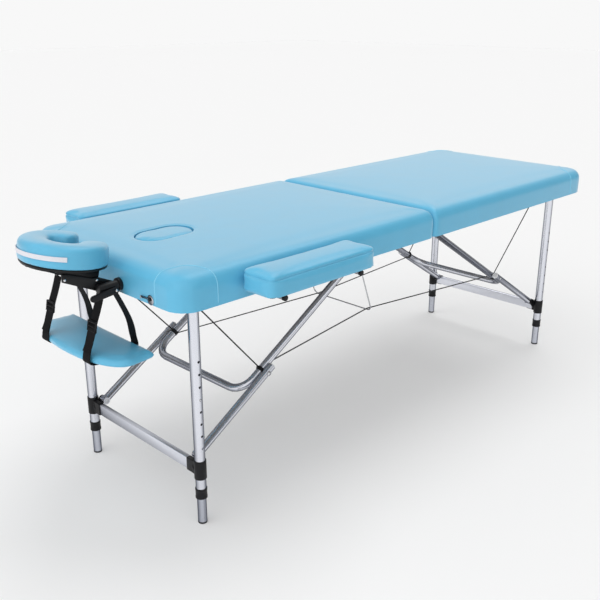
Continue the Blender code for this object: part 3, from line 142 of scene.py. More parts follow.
def colour(label, words, hex_colour):
    """A colour that the panel offers."""
    return bpy.props.FloatVectorProperty(name=label, description=words, subtype="COLOR", size=3,
                                         min=0, max=1, default=linear(hex_colour))


def length(label, words, metres):
    """A length that the panel offers."""
    return bpy.props.FloatProperty(name=label, description=words, unit="LENGTH", subtype="DISTANCE", min=0,
                                   default=metres)


class TableFinishes(bpy.types.PropertyGroup):
    """Colours of the table and its stage."""
    vinyl: colour("Vinyl", "Upholstery of the deck, armrests, cushion and sling board", "#5EB2D5")
    aluminium: colour("Aluminium", "Polished legs, struts, crossbars and rails", "#E4E6EE")
    inner_leg: colour("Inner leg", "Plain drawn inner legs", "#CDD0DA")
    # Painted reflection: the colour that the metals' base colour turns to on the flanks of their tubes.
    painted_reflection_dark: colour("Mirrored room", "Dark that the flanks of the metal tubes mirror", "#3F4659")
    # Painted highlight: the welts are coloured paler than the vinyl so that they read as lit ridges.
    piping: colour("Piping", "Welts sewn round the corner patches", "#84CBE6")
    steel: colour("Plated steel", "Bolts, rods, latches, hinge, axles and bail", "#DADBDE")
    nylon: colour("Nylon", "Moulded collars, clamps, caps, ferrules and buckles", "#0C0C10")
    powder_coat: colour("Powder coat", "Cradle carrier and head rest plate", "#0A0B0E")
    webbing: colour("Webbing", "Sling straps", "#08080B")
    plywood: colour("Plywood", "Boards under the foam", "#8D8B88")
    cable: colour("Cable coat", "Vinyl coat of the wire ropes", "#101114")
    tape: colour("Tape", "Plain band round the face cushion", "#D6D6DD")
    plug: colour("End plug", "Plugs in the lower struts", "#D9DADC")
    rubber: colour("Rubber", "Tips of the feet", "#26272A")
    floor: colour("Floor", "Pale floor and background", "#F8F8F8")


class TableSizes(bpy.types.PropertyGroup):
    """Sizes of the sewn and fitted details."""
    patch_x: length("Corner patch length", "Reach of a corner patch along the deck", 0.105)
    patch_y: length("Corner patch width", "Reach of a corner patch across the deck", 0.095)
    seam_depth: length("Seam depth", "How far a seam draws the vinyl in", 0.0012)
    welt: length("Welt", "Radius of the sewn welt round a corner patch", 0.0012)
    seam_width: length("Seam width", "Half width of a seam's groove", 0.0030)
    vinyl_grain: length("Vinyl grain", "Size of the vinyl's pressed grain", 0.0024)
    bolt_head: length("Bolt head", "Diameter of a pivot bolt's head", 0.013)
    ferrule: length("Ferrule", "Length of the sleeve round a strut at the knuckle", 0.011)
    tape_height: length("Tape height", "Height of the band round the face cushion", 0.011)
    strap_width: length("Strap width", "Width of the sling's webbing", 0.0315)
    strap_thickness: length("Strap thickness", "Thickness of the sling's webbing", 0.0018)
    foot_tip: length("Foot tip", "Height of the rubber tip on each foot", 0.006)


def add_node(tree, kind, inputs=(), **settings):
    """Add a node: an input is a value, or a node and the name of its output to link from."""
    node = tree.nodes.new(kind)
    for name, value in settings.items():
        setattr(node, name, value)
    for name, value in dict(inputs).items():
        if isinstance(value, tuple) and isinstance(value[0], bpy.types.Node):
            tree.links.new(value[0].outputs[value[1]], node.inputs[name])
        else:
            node.inputs[name].default_value = value
    return node


def new_material(name):
    """An empty node material; returns it, its tree and its place in metres, as a texture's input."""
    material = bpy.data.materials.get(name)
    if material:
        bpy.data.materials.remove(material)
    material = bpy.data.materials.new(name)
    material.use_nodes = True
    material.node_tree.nodes.clear()
    place = add_node(material.node_tree, "ShaderNodeTexCoord")
    return material, material.node_tree, {"Vector": (place, "Object")}


def close_material(tree, shader):
    """Link a shader to the material's output."""
    add_node(tree, "ShaderNodeOutputMaterial", {"Surface": (shader, "BSDF")})


def tint(name):
    """A colour of the panel, by its name."""
    return getattr(bpy.context.scene.table_finishes, name)


def shade(rgb, factor=1.0):
    """A colour made lighter or darker, as RGBA."""
    return [min(1.0, c * factor) for c in rgb] + [1.0]


def vinyl(name, rgb):
    """Calendered PVC in a colour, with its pressed grain and a topcoat that shows most at a slant."""
    material, tree, place = new_material(name)
    # The real grain is under a millimetre; it is drawn as coarse as it needs to show at all.
    grain = add_node(tree, "ShaderNodeTexVoronoi",
                     {**place, "Scale": 1 / bpy.context.scene.table_sizes.vinyl_grain}, feature="SMOOTH_F1")
    # The foam's slow unevenness under the skin is about 70 mm from swell to swell.
    pucker = add_node(tree, "ShaderNodeTexNoise", {
        **place, "Scale": 1 / (70 * MM), "Detail": 2.0, "Distortion": 0.6})
    tone = add_node(tree, "ShaderNodeMix", {
        "Factor": (pucker, "Fac"), "A": shade(rgb, 0.95), "B": shade(rgb, 1.05)}, data_type="RGBA")
    rough = add_node(tree, "ShaderNodeMapRange", {"Value": (pucker, "Fac"), "To Min": 0.36, "To Max": 0.46})
    soft = add_node(tree, "ShaderNodeBump", {
        "Height": (pucker, "Fac"), "Strength": 0.25, "Distance": 2.5 * MM})
    bump = add_node(tree, "ShaderNodeBump", {
        "Height": (grain, "Distance"), "Normal": (soft, "Normal"), "Strength": 0.10, "Distance": 0.4 * MM})
    slant = add_node(tree, "ShaderNodeLayerWeight", {"Blend": 0.5})
    coat = add_node(tree, "ShaderNodeMapRange", {
        "Value": (slant, "Facing"), "From Min": 0.35, "From Max": 0.68})
    shader = add_node(tree, "ShaderNodeBsdfPrincipled", {
        "Base Color": (tone, "Result"), "Roughness": (rough, "Result"), "Normal": (bump, "Normal"),
        "IOR": 1.53, "Specular IOR Level": 0.4, "Coat Weight": (coat, "Result"), "Coat Roughness": 0.38,
        "Coat IOR": 1.56})
    close_material(tree, shader)
    return material


def upholstery_vinyl():
    """Sky blue PVC over foam: an even colour, a fine grain and a wide soft gloss."""
    return vinyl("upholstery_vinyl", tint("vinyl"))


def piping_vinyl():
    """The same PVC stretched round a cord, coloured paler as a painted highlight along the welt."""
    return vinyl("piping_vinyl", tint("piping"))


def drawn_metal(name, rgb, roughness, scratch, flanks=0.18):
    """A drawn metal of a roughness, with rubbed marks of a size and a painted dark reflection on flanks seen from
    a slant on.
    """
    material, tree, place = new_material(name)
    marks = add_node(tree, "ShaderNodeTexNoise", {
        **place, "Scale": 1 / scratch, "Detail": 4.0, "Roughness": 0.7})
    rough = add_node(tree, "ShaderNodeMapRange", {
        "Value": (marks, "Fac"), "From Min": 0.3, "From Max": 0.7,
        "To Min": roughness * 0.85, "To Max": roughness * 1.2})
    tone = add_node(tree, "ShaderNodeMix", {
        "Factor": (marks, "Fac"), "A": shade(rgb, 0.96), "B": shade(rgb, 1.04)}, data_type="RGBA")
    bump = add_node(tree, "ShaderNodeBump", {
        "Height": (marks, "Fac"), "Strength": 0.02, "Distance": 0.2 * MM})
    # Painted reflection: from a slant on, the base colour turns towards a dark colour, standing in for the dark
    # sides of a room that the pale stage leaves out.
    slant = add_node(tree, "ShaderNodeLayerWeight", {"Blend": 0.5})
    painted_reflection_mask = add_node(tree, "ShaderNodeMapRange", {
        "Value": (slant, "Facing"), "From Min": flanks, "From Max": flanks + 0.46})
    painted_reflection_colour = add_node(tree, "ShaderNodeMix", {
        "Factor": (painted_reflection_mask, "Result"), "A": (tone, "Result"), "B": shade(tint("painted_reflection_dark"))},
                      data_type="RGBA")
    shader = add_node(tree, "ShaderNodeBsdfPrincipled", {
        "Base Color": (painted_reflection_colour, "Result"), "Roughness": (rough, "Result"), "Normal": (bump, "Normal"),
        "Metallic": 1.0})
    close_material(tree, shader)
    return material


def polished_aluminium():
    """Drawn aluminium tube, buffed: pale, with soft reflections and a slight drift in gloss."""
    return drawn_metal("polished_aluminium", tint("aluminium"), 0.22, 6 * MM)


def brushed_aluminium():
    """Flat aluminium section, brushed across: even, and softer in its reflections than the tubes."""
    return drawn_metal("brushed_aluminium", tint("aluminium"), 0.34, 9 * MM, 0.42)


def drawn_inner_leg():
    """Plain drawn aluminium tube, not buffed: greyer and softer than the outer legs."""
    return drawn_metal("drawn_inner_leg", tint("inner_leg"), 0.30, 6 * MM, 0.13)


def plated_steel():
    """Nickel-plated steel: brighter and sharper than the aluminium."""
    return drawn_metal("plated_steel", tint("steel"), 0.14, 4 * MM)


def patterned(material, tree, pattern, rgb, tones, relief, surface):
    """Close a material whose one pattern drifts its colour between two tones and stands up in relief."""
    tone = add_node(tree, "ShaderNodeMix", {
        "Factor": (pattern, "Fac"), "A": shade(rgb, tones[0]), "B": shade(rgb, tones[1])}, data_type="RGBA")
    bump = add_node(tree, "ShaderNodeBump", {
        "Height": (pattern, "Fac"), "Strength": relief[0], "Distance": relief[1]})
    shader = add_node(tree, "ShaderNodeBsdfPrincipled", {
        "Base Color": (tone, "Result"), "Normal": (bump, "Normal"), **surface})
    close_material(tree, shader)
    return material


def moulded(name, rgb, roughness, spark, gloss=0.5):
    """A moulded or coated skin with a fine sparked texture of a size, a little lighter on its high spots."""
    material, tree, place = new_material(name)
    texture = add_node(tree, "ShaderNodeTexNoise", {**place, "Scale": 1 / spark, "Detail": 3.0})
    rough = add_node(tree, "ShaderNodeMapRange", {
        "Value": (texture, "Fac"), "To Min": roughness - 0.08, "To Max": roughness + 0.08})
    return patterned(material, tree, texture, rgb, (0.8, 1.25), (0.15, 0.3 * MM), {
        "Roughness": (rough, "Result"), "IOR": 1.5, "Specular IOR Level": gloss})


def moulded_nylon():
    """Black injection-moulded nylon: dull, with a fine spark-eroded texture."""
    return moulded("moulded_nylon", tint("nylon"), 0.48, 1.5 * MM, 0.3)


def powder_coated_steel():
    """Black powder coat over bent steel plate: a fine orange peel and a satin gloss."""
    return moulded("powder_coated_steel", tint("powder_coat"), 0.42, 3 * MM, 0.35)


def foot_rubber():
    """Moulded rubber: matt and even."""
    return moulded("foot_rubber", tint("rubber"), 0.75, 2 * MM)


def end_plug_plastic():
    """Pale moulded polyethylene: waxy and smooth."""
    return moulded("end_plug_plastic", tint("plug"), 0.45, 2 * MM)


def cushion_tape():
    """Plain woven tape with a faint rib, almost white."""
    return moulded("cushion_tape", tint("tape"), 0.55, 1.2 * MM)


def woven_webbing():
    """Polypropylene webbing: ribs of a herringbone weave across a flat band."""
    material, tree, place = new_material("woven_webbing")
    # The weave is a rib each 1.5 mm, drawn at 3 mm so that it shows.
    rib = add_node(tree, "ShaderNodeTexWave", {
        **place, "Scale": pi / (10 * 3 * MM), "Distortion": 1.5, "Detail": 2.0}, bands_direction="Z")
    return patterned(material, tree, rib, tint("webbing"), (0.7, 1.7), (0.4, 0.4 * MM), {
        "Roughness": 0.75, "Specular IOR Level": 0.2})


def coated_rope():
    """Wire rope in a clear grey vinyl coat: dark, with the lay of its strands just showing."""
    material, tree, place = new_material("coated_rope")
    # The strands' lay is 4 mm, drawn as it is.
    lay = add_node(tree, "ShaderNodeTexWave", {**place, "Scale": pi / (10 * 4 * MM)},
                   bands_direction="DIAGONAL")
    return patterned(material, tree, lay, tint("cable"), (0.7, 1.4), (0.4, 0.3 * MM), {
        "Roughness": 0.38, "Metallic": 0.3})


def birch_plywood():
    """Rotary-cut birch ply: long pale figure along the board."""
    material, tree, place = new_material("birch_plywood")
    stretch = add_node(tree, "ShaderNodeMapping", {**place, "Scale": (0.08, 1.0, 1.0)})
    figure = add_node(tree, "ShaderNodeTexNoise", {
        "Vector": (stretch, "Vector"), "Scale": 1 / (14 * MM), "Detail": 6.0, "Distortion": 0.8})
    return patterned(material, tree, figure, tint("plywood"), (0.72, 1.2), (0.2, 0.3 * MM), {
        "Roughness": 0.66})


# Each finish has its maker and the material slot of the frame that it stands for.
MAKERS = {
    "vinyl": (upholstery_vinyl, "sky_blue_vinyl"), "piping": (piping_vinyl, "sky_blue_vinyl"),
    "tape": (cushion_tape, "sky_blue_vinyl"), "aluminium": (polished_aluminium, "polished_aluminium"),
    "brushed": (brushed_aluminium, "polished_aluminium"),
    "inner_leg": (drawn_inner_leg, "polished_aluminium"),
    "steel": (plated_steel, "bright_steel"), "nylon": (moulded_nylon, "black_nylon"),
    "rubber": (foot_rubber, "black_nylon"), "plug": (end_plug_plastic, "black_nylon"),
    "powder_coat": (powder_coated_steel, "black_steel"), "webbing": (woven_webbing, "black_webbing"),
    "plywood": (birch_plywood, "plywood"), "cable": (coated_rope, "coated_cable")}
MATERIALS = {}


def settle(piece, name, finish, body, *nodes):
    """Name a piece, give it its finish, and hang it on its body in place of CAD nodes."""
    if finish not in MATERIALS:
        MATERIALS[finish] = MAKERS[finish][0]()
    piece.name = piece.data.name = name
    piece.data.materials.clear()
    piece.data.materials.append(MATERIALS[finish])
    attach(piece, body)
    if nodes:
        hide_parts(*nodes)
    return piece


def body_of(node):
    """The name of the body that carries a CAD node."""
    return next(body for body, nodes in frame["record"]["behaviour"]["bodies"].items() if node in nodes)


def outermost(low, high, way):
    """The one of two places along an axis that lies further that way."""
    return low if way < 0 else high


def of_kind(items, kind):
    """The items of a mesh edit that are of one kind."""
    return [item for item in items if isinstance(item, kind)]


def from_bmesh(bm):
    """A new object from a mesh edit, with smooth rounds and crisp edges."""
    mesh = bpy.data.meshes.new("piece")
    bmesh.ops.recalc_face_normals(bm, faces=bm.faces)
    bm.to_mesh(mesh)
    bm.free()
    mesh.shade_smooth()
    mesh.set_sharp_from_angle(angle=CRISP)
    piece = bpy.data.objects.new(mesh.name, mesh)
    bpy.context.scene.collection.objects.link(piece)
    return piece


def solid_of(node):
    """A CAD node's solid, welded, as a mesh edit."""
    bm = bmesh.new()
    bm.from_mesh(frame["nodes"][node].data)
    bmesh.ops.remove_doubles(bm, verts=bm.verts, dist=WELD)
    return bm


def shaped(piece, kind, **settings):
    """Add a modifier to a piece and apply it."""
    modifier = piece.modifiers.new(kind.lower(), kind)
    for name, value in settings.items():
        setattr(modifier, name, value)
    bpy.context.view_layer.update()
    graph = bpy.context.evaluated_depsgraph_get()
    mesh = bpy.data.meshes.new_from_object(piece.evaluated_get(graph))
    piece.modifiers.clear()
    piece.data = mesh
    return piece


def rows_of(items, name):
    """One vector of each item of a mesh, as rows of numbers."""
    flat = np.empty(len(items) * 3, np.float32)
    items.foreach_get(name, flat)
    return flat.reshape(-1, 3).astype(float)


def points_of(mesh):
    """The points of a mesh, as rows."""
    return rows_of(mesh.vertices, "co")


def normals_of(mesh):
    """The normals of a mesh's points, as rows."""
    return rows_of(mesh.vertex_normals, "vector")


def set_points(mesh, points):
    """Move the points of a mesh to new rows."""
    mesh.vertices.foreach_set("co", points.astype(np.float32).ravel())
    mesh.update()


def loft(rings):
    """Skin a run of equal rings of points, capped at both ends."""
    bm = bmesh.new()
    rows = [[bm.verts.new(point) for point in ring] for ring in rings]
    for low, high in zip(rows, rows[1:]):
        for i in range(len(low)):
            j = (i + 1) % len(low)
            bm.faces.new((low[i], low[j], high[j], high[i]))
    bm.faces.new(rows[0])
    bm.faces.new(rows[-1])
    return from_bmesh(bm)


def turned(radius, *steps):
    """A profile to spin: each step is millimetres beyond a radius, and millimetres along the axis."""
    return [(radius + beyond * MM, along * MM) for beyond, along in steps]


def lathe(profile, start, direction, sides=32):
    """Spin a profile of (radius, distance) about a direction from a start point."""
    turn = Vector(direction).to_track_quat("Z", "Y").to_matrix()
    angles = [2 * pi * i / sides for i in range(sides)]
    return loft([[Vector(start) + turn @ Vector((radius * cos(a), radius * sin(a), distance))
                  for a in angles] for radius, distance in profile])


def sweep(path, section, across):
    """Carry a closed section of (across, outward) sizes along a path, with its width along one vector."""
    path = [Vector(point) for point in path]
    rings = []
    for i, point in enumerate(path):
        along = (path[min(i + 1, len(path) - 1)] - path[max(i - 1, 0)]).normalized()
        side = Vector(across)
        side = (side - along * side.dot(along)).normalized()
        out = side.cross(along)
        rings.append([point + side * u + out * v for u, v in section])
    return loft(rings)


def band_section(width, thickness):
    """A flat band with eased edges."""
    w, t, e = width / 2, thickness / 2, thickness / 3
    return [(-w + e, -t), (w - e, -t), (w, -t + e), (w, t - e),
            (w - e, t), (-w + e, t), (-w, t - e), (-w, -t + e)]


def smooth_path(points, count):
    """Even points on a spline through a few points."""
    curve = bpy.data.curves.new("path", "CURVE")
    curve.dimensions = "3D"
    spline = curve.splines.new("BEZIER")
    spline.bezier_points.add(len(points) - 1)
    for knot, point in zip(spline.bezier_points, points):
        knot.co = point
        knot.handle_left_type = knot.handle_right_type = "AUTO"
    spline.resolution_u = 24
    holder = bpy.data.objects.new("path", curve)
    bpy.context.scene.collection.objects.link(holder)
    bpy.context.view_layer.update()
    mesh = holder.evaluated_get(bpy.context.evaluated_depsgraph_get()).to_mesh()
    fine = np.array([v.co for v in mesh.vertices])
    bpy.data.objects.remove(holder)
    way = np.concatenate(([0], np.cumsum(np.linalg.norm(np.diff(fine, axis=0), axis=1))))
    spots = np.linspace(0, way[-1], count)
    return [Vector([float(np.interp(s, way, fine[:, axis])) for axis in range(3)]) for s in spots]


def together(*pieces):
    """Join pieces of one finish into one."""
    bm = bmesh.new()
    for piece in pieces:
        bm.from_mesh(piece.data)
    for piece in pieces:
        bpy.data.objects.remove(piece)
    return from_bmesh(bm)


def refined(node, finish, ease=0.0):
    """A CAD solid with its edges eased and its rounds shaded smooth, in its real finish."""
    bm = solid_of(node)
    bmesh.ops.dissolve_limit(bm, angle_limit=FLAT, verts=bm.verts, edges=bm.edges)
    piece = from_bmesh(bm)
    if ease:
        shaped(piece, "BEVEL", width=ease, segments=2, limit_method="ANGLE", angle_limit=CRISP)
        piece.data.shade_smooth()
        piece.data.set_sharp_from_angle(angle=EASED)
    return settle(piece, node + "_finished", finish, body_of(node), node)


def rounded_plan(x0, x1, y0, y1, radii):
    """Plan points of a rectangle with one corner radius at x0 and one at x1, at even turns."""
    r0, r1 = radii
    corners = ((x1 - r1, y1 - r1, r1, 0), (x0 + r0, y1 - r0, r0, 90), (x0 + r0, y0 + r0, r0, 180),
               (x1 - r1, y0 + r1, r1, 270))
    turns = [90 * i / CORNER_STEPS for i in range(CORNER_STEPS + 1)]
    return [(x + r * cos(radians(start + turn)), y + r * sin(radians(start + turn)))
            for x, y, r, start in corners for turn in turns]


def pad_form(low, high, radii, edges, drop, crown, draw):
    """A closed crowned pad: radii and edge rounds are for the ends at low x and at high x."""
    def ring(in0, in1, z):
        side = max(in0, in1)
        r = (max(radii[0] - in0, LEAST_CORNER), max(radii[1] - in1, LEAST_CORNER))
        plan = rounded_plan(low.x + in0, high.x - in1, low.y + side, high.y - side, r)
        return [(x, y, z) for x, y in plan]

    shoulder = high.z - crown - drop
    rings = [ring(0, 0, low.z), ring(draw, draw, (low.z + shoulder) / 2)]
    for i in range(EDGE_STEPS + 1):
        a = radians(90 / EDGE_STEPS * i)
        rings.append(ring(edges[0] * (1 - cos(a)), edges[1] * (1 - cos(a)), shoulder + drop * sin(a)))
    reach = (high.y - low.y) / 2 - max(edges)
    for share in CROWN_SHARES:
        rise = crown * (1 - (1 - share) ** 2)
        rings.append(ring(edges[0] + share * reach, edges[1] + share * reach, high.z - crown + rise))
    return loft(rings)


def stuffed(piece, voxel, cap, floor_z):
    """Swell a closed form like cloth under pressure, held up to a height, and smooth it."""
    shaped(piece, "REMESH", mode="VOXEL", voxel_size=voxel)
    rest = points_of(piece.data)
    held = piece.vertex_groups.new(name="held")
    held.add([int(i) for i in np.flatnonzero(rest[:, 2] < floor_z + voxel)], 1.0, "REPLACE")
    cloth = piece.modifiers.new("filling", "CLOTH")
    cloth.settings.quality = SWELL_QUALITY
    cloth.settings.use_pressure = True
    cloth.settings.uniform_pressure_force = SWELL_PRESSURE
    cloth.settings.effector_weights.gravity = 0.0
    cloth.settings.vertex_group_mass = "held"
    cloth.point_cache.frame_end = SWELL_FRAMES
    for number in range(1, SWELL_FRAMES + 1):
        bpy.context.scene.frame_set(number)
    graph = bpy.context.evaluated_depsgraph_get()
    move = points_of(piece.evaluated_get(graph).data) - rest
    piece.modifiers.clear()
    bpy.context.scene.frame_set(1)
    size = np.linalg.norm(move, axis=1, keepdims=True)
    set_points(piece.data, rest + move * np.minimum(1, cap / np.maximum(size, 1e-9)))
    piece.vertex_groups.clear()
    shaped(piece, "SMOOTH", factor=SMOOTH_FACTOR, iterations=SMOOTH_ROUNDS)
    shaped(piece, "SUBSURF", levels=1, render_levels=1)
    piece.data.shade_smooth()
    return piece


def press(piece, distance, depth, width):
    """Draw a seam into a stuffed mesh, by each point's distance from the seam line."""
    points = points_of(piece.data)
    fall = np.exp(-(distance(points) / width) ** 2)
    set_points(piece.data, points - normals_of(piece.data) * (depth * fall)[:, None])


def welt(piece, targets, radius, across):
    """A thin sewn welt on a piece's skin, through the nearest points to a run of targets."""
    bm = bmesh.new()
    bm.from_mesh(piece.data)
    skin = BVHTree.FromBMesh(bm)
    bm.free()
    path = smooth_path([skin.find_nearest(Vector(target))[0] for target in targets], WELT_POINTS)
    turns = [2 * pi * i / WELT_SIDES for i in range(WELT_SIDES)]
    return sweep(path, [(radius * cos(a), radius * sin(a)) for a in turns], across)


def patch_line(tip, side, turn, out, top):
    """Points off the skin round a corner patch: up the deck's side, over its top and down its end."""
    sizes = bpy.context.scene.table_sizes
    reach_x, reach_y = -turn * sizes.patch_x, -out * sizes.patch_y
    shoulder, foot = top - SHOULDER_DROP, DECK_BOTTOM + WELT_FOOT
    heights = [foot + (shoulder - foot) * i / 6 for i in range(6)]
    rise = [(tip + reach_x, side + out * WELT_CLEAR, z) for z in heights]
    fall = [(tip + turn * WELT_CLEAR, side + reach_y, z) for z in reversed(heights)]
    for i in range(8):
        lift, lean = radians(11 * i), cos(radians(2.4 * i))
        back = SHOULDER_ROUND * (1 - SHOULDER_BULGE * cos(lift))
        z = shoulder + SHOULDER_BULGE * SHOULDER_ROUND * sin(lift)
        rise.append((tip + reach_x * lean, side - out * back, z))
        fall.insert(0, (tip - turn * back, side + reach_y * lean, z))
    arc = [radians(20 + 50 * i / 12) for i in range(13)]
    over = [(tip + reach_x * cos(a), side + reach_y * sin(a), top + WELT_CLEAR) for a in arc]
    return rise + over + fall


def hole_reach(points):
    """Signed plan distance of points from the round-ended face hole."""
    dx = np.maximum(np.abs(points[:, 0] - HOLE_MIDDLE.x) - HOLE_HALF, 0)
    return np.hypot(dx, points[:, 1] - HOLE_MIDDLE.y) - HOLE_SIZE.y / 2


def trim(pad, low, high, holed):
    """Cut a deck half open below, turn its hem in and, on a holed half, open the hole and sink its walls."""
    bm = bmesh.new()
    bm.from_mesh(pad.data)
    bm.normal_update()
    gone = []
    for face in bm.faces:
        centre = face.calc_center_median()
        in_hole = holed and face.normal.z > HOLE_FACING and hole_reach(np.array([centre]))[0] < 0
        if centre.z <= low.z + HEM_CUT or in_hole:
            gone.append(face)
    bmesh.ops.delete(bm, geom=gone, context="FACES")
    rim = [e for e in bm.edges if e.is_boundary]
    hole = [e for e in rim if e.verts[0].co.z > FOAM_Z and e.verts[1].co.z > FOAM_Z]
    hem = [e for e in rim if e not in hole]
    for vert in {v for e in hem for v in e.verts}:
        vert.co.z = DECK_BOTTOM - HEM_DROP
    middle_x = (low.x + high.x) / 2
    hemmed = bmesh.ops.extrude_edge_only(bm, edges=hem)["geom"]
    for vert in of_kind(hemmed, bmesh.types.BMVert):
        vert.co.x += (middle_x - vert.co.x) * HEM_IN_X
        vert.co.y *= HEM_KEEP_Y
    for vert in {v for e in hole for v in e.verts}:
        away = hole_reach(np.array([vert.co]))[0]
        x = min(max(vert.co.x, HOLE_MIDDLE.x - HOLE_HALF), HOLE_MIDDLE.x + HOLE_HALF)
        vert.co -= (vert.co - Vector((x, HOLE_MIDDLE.y, vert.co.z))).normalized() * away
    for fall in (HOLE_LIP, None) if holed else ():
        walls = bmesh.ops.extrude_edge_only(bm, edges=hole)["geom"]
        for vert in of_kind(walls, bmesh.types.BMVert):
            vert.co.z = vert.co.z - fall if fall else FOAM_Z
        hole = [e for e in of_kind(walls, bmesh.types.BMEdge) if e.is_boundary]
    bm.to_mesh(pad.data)
    bm.free()
    pad.data.shade_smooth()
    pad.data.set_sharp_from_angle(angle=EASED)


def studio_world(floor):
    """A world of soft light: a fill for surfaces, a room for mirrors and an even white for the camera."""
    world = bpy.data.worlds.new("studio")
    world.use_nodes = True
    tree = world.node_tree
    tree.nodes.clear()
    place = (add_node(tree, "ShaderNodeTexCoord"), "Generated")
    height = add_node(tree, "ShaderNodeSeparateXYZ", {"Vector": place})
    fill = add_node(tree, "ShaderNodeVectorMath", {0: place, 1: FILL_FROM}, operation="DOT_PRODUCT")
    dome = add_node(tree, "ShaderNodeMapRange", {
        "Value": (fill, "Value"), "From Min": -0.45, "From Max": 1.0, "To Max": FILL_STRENGTH})
    # Mirror rays meet pale walls ahead and behind, dark ones to the sides and a dim ceiling.
    across = add_node(tree, "ShaderNodeVectorMath", {0: place, 1: SIDE_WALLS}, operation="DOT_PRODUCT")
    sideways = add_node(tree, "ShaderNodeMath", {0: (across, "Value")}, operation="ABSOLUTE")
    walls = add_node(tree, "ShaderNodeMapRange", {
        "Value": (sideways, "Value"), "From Min": 0.45, "From Max": 0.90, "To Min": 1.0, "To Max": 0.22})
    ceiling = add_node(tree, "ShaderNodeMapRange", {
        "Value": (height, "Z"), "From Min": 0.45, "From Max": 0.95, "To Min": 1.0, "To Max": 0.5})
    room = add_node(tree, "ShaderNodeMath", {0: (walls, "Result"), 1: (ceiling, "Result")},
                    operation="MINIMUM")
    ray = add_node(tree, "ShaderNodeLightPath")
    mirrored = add_node(tree, "ShaderNodeMath", {0: (ray, "Is Glossy Ray"), 1: (ray, "Is Transmission Ray")},
                        operation="MAXIMUM")
    lit = add_node(tree, "ShaderNodeMix", {
        "Factor": (mirrored, "Value"), "A": (dome, "Result"), "B": (room, "Value")})
    seen = add_node(tree, "ShaderNodeMix", {
        "Factor": (ray, "Is Camera Ray"), "A": (lit, "Result"), "B": 1.0})
    back = add_node(tree, "ShaderNodeBackground", {"Color": shade(floor), "Strength": (seen, "Result")})
    add_node(tree, "ShaderNodeOutputWorld", {"Surface": (back, "Background")})
    return world


class TABLE_OT_stage(bpy.types.Operator):
    """Set the camera, the pale floor and the soft studio light"""
    bl_idname = "massage_table.stage"
    bl_label = "Stage"

    def execute(self, context):
        scene = context.scene
        scene.view_settings.view_transform = "Standard"
        camera = bpy.data.objects.new("camera", bpy.data.cameras.new("camera"))
        scene.collection.objects.link(camera)
        camera.data.sensor_width, camera.data.lens, camera.data.clip_end = SENSOR, LENS, SIGHT
        camera.location = (HINGE_X + CAMERA_X, CAMERA_Y, CAMERA_Z)
        look = Vector((cos(CAMERA_TURN), sin(CAMERA_TURN), -tan(CAMERA_DIP)))
        camera.rotation_euler = look.to_track_quat("-Z", "Y").to_euler()
        scene.camera = camera
        scene.world = studio_world(tint("floor"))
        lamp = bpy.data.lights.new("soft_key", "SUN")
        lamp.energy, lamp.angle = KEY_STRENGTH, KEY_SPREAD
        key = bpy.data.objects.new("soft_key", lamp)
        scene.collection.objects.link(key)
        key.rotation_euler = Vector(KEY_WAY).to_track_quat("-Z", "Y").to_euler()
        bm = bmesh.new()
        bmesh.ops.create_grid(bm, x_segments=1, y_segments=1, size=FLOOR_REACH)
        floor = from_bmesh(bm)
        floor.name = "floor"
        material, tree, _ = new_material("pale_floor")
        # The floor glows a little, as a lit light table does, so that the shadow stays soft and pale.
        shader = add_node(tree, "ShaderNodeBsdfPrincipled", {
            "Base Color": shade(tint("floor"), FLOOR_SHADE), "Roughness": 0.9, "Specular IOR Level": 0.1,
            "Emission Color": shade(tint("floor")), "Emission Strength": FLOOR_GLOW})
        close_material(tree, shader)
        floor.data.materials.append(material)
        return {"FINISHED"}


class TABLE_OT_deck(bpy.types.Operator):
    """Stuff the two halves of the deck, sew their corner patches and open the face hole"""
    bl_idname = "massage_table.deck"
    bl_label = "Deck"

    def execute(self, context):
        inset = Vector((DECK_INSET, DECK_INSET, DECK_INSET))
        for end, turn in ENDS:
            low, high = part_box(end + "_pad")
            low, high = low + inset * Vector((1, 1, 0)), high - inset
            form = pad_form(low, high, DECK_CORNERS[::-turn], DECK_ROUNDS[::-turn], DECK_DROP, DECK_CROWN,
                            DECK_DRAW)
            pad = stuffed(form, DECK_VOXEL, DECK_SWELL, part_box(end + "_rails")[1].z - RAIL_HOLD)
            tip = outermost(low.x, high.x, turn)
            for side, out in SIDES:
                line = patch_line(tip, outermost(low.y, high.y, out), turn, out, high.z)
                seam = welt(pad, line, context.scene.table_sizes.welt, (-turn, -out, 0))
                settle(seam, f"{end}_{side}_corner_welt", "piping", end + "_deck")
            holed = end == "head"
            if holed:
                press(pad, lambda p: np.maximum(hole_reach(p), 0) + (p[:, 2] < FOAM_Z),
                      HOLE_DEPTH, HOLE_WIDTH)
            trim(pad, low, high, holed)
            settle(pad, end + "_pad_vinyl", "vinyl", end + "_deck", end + "_pad")
        return {"FINISHED"}


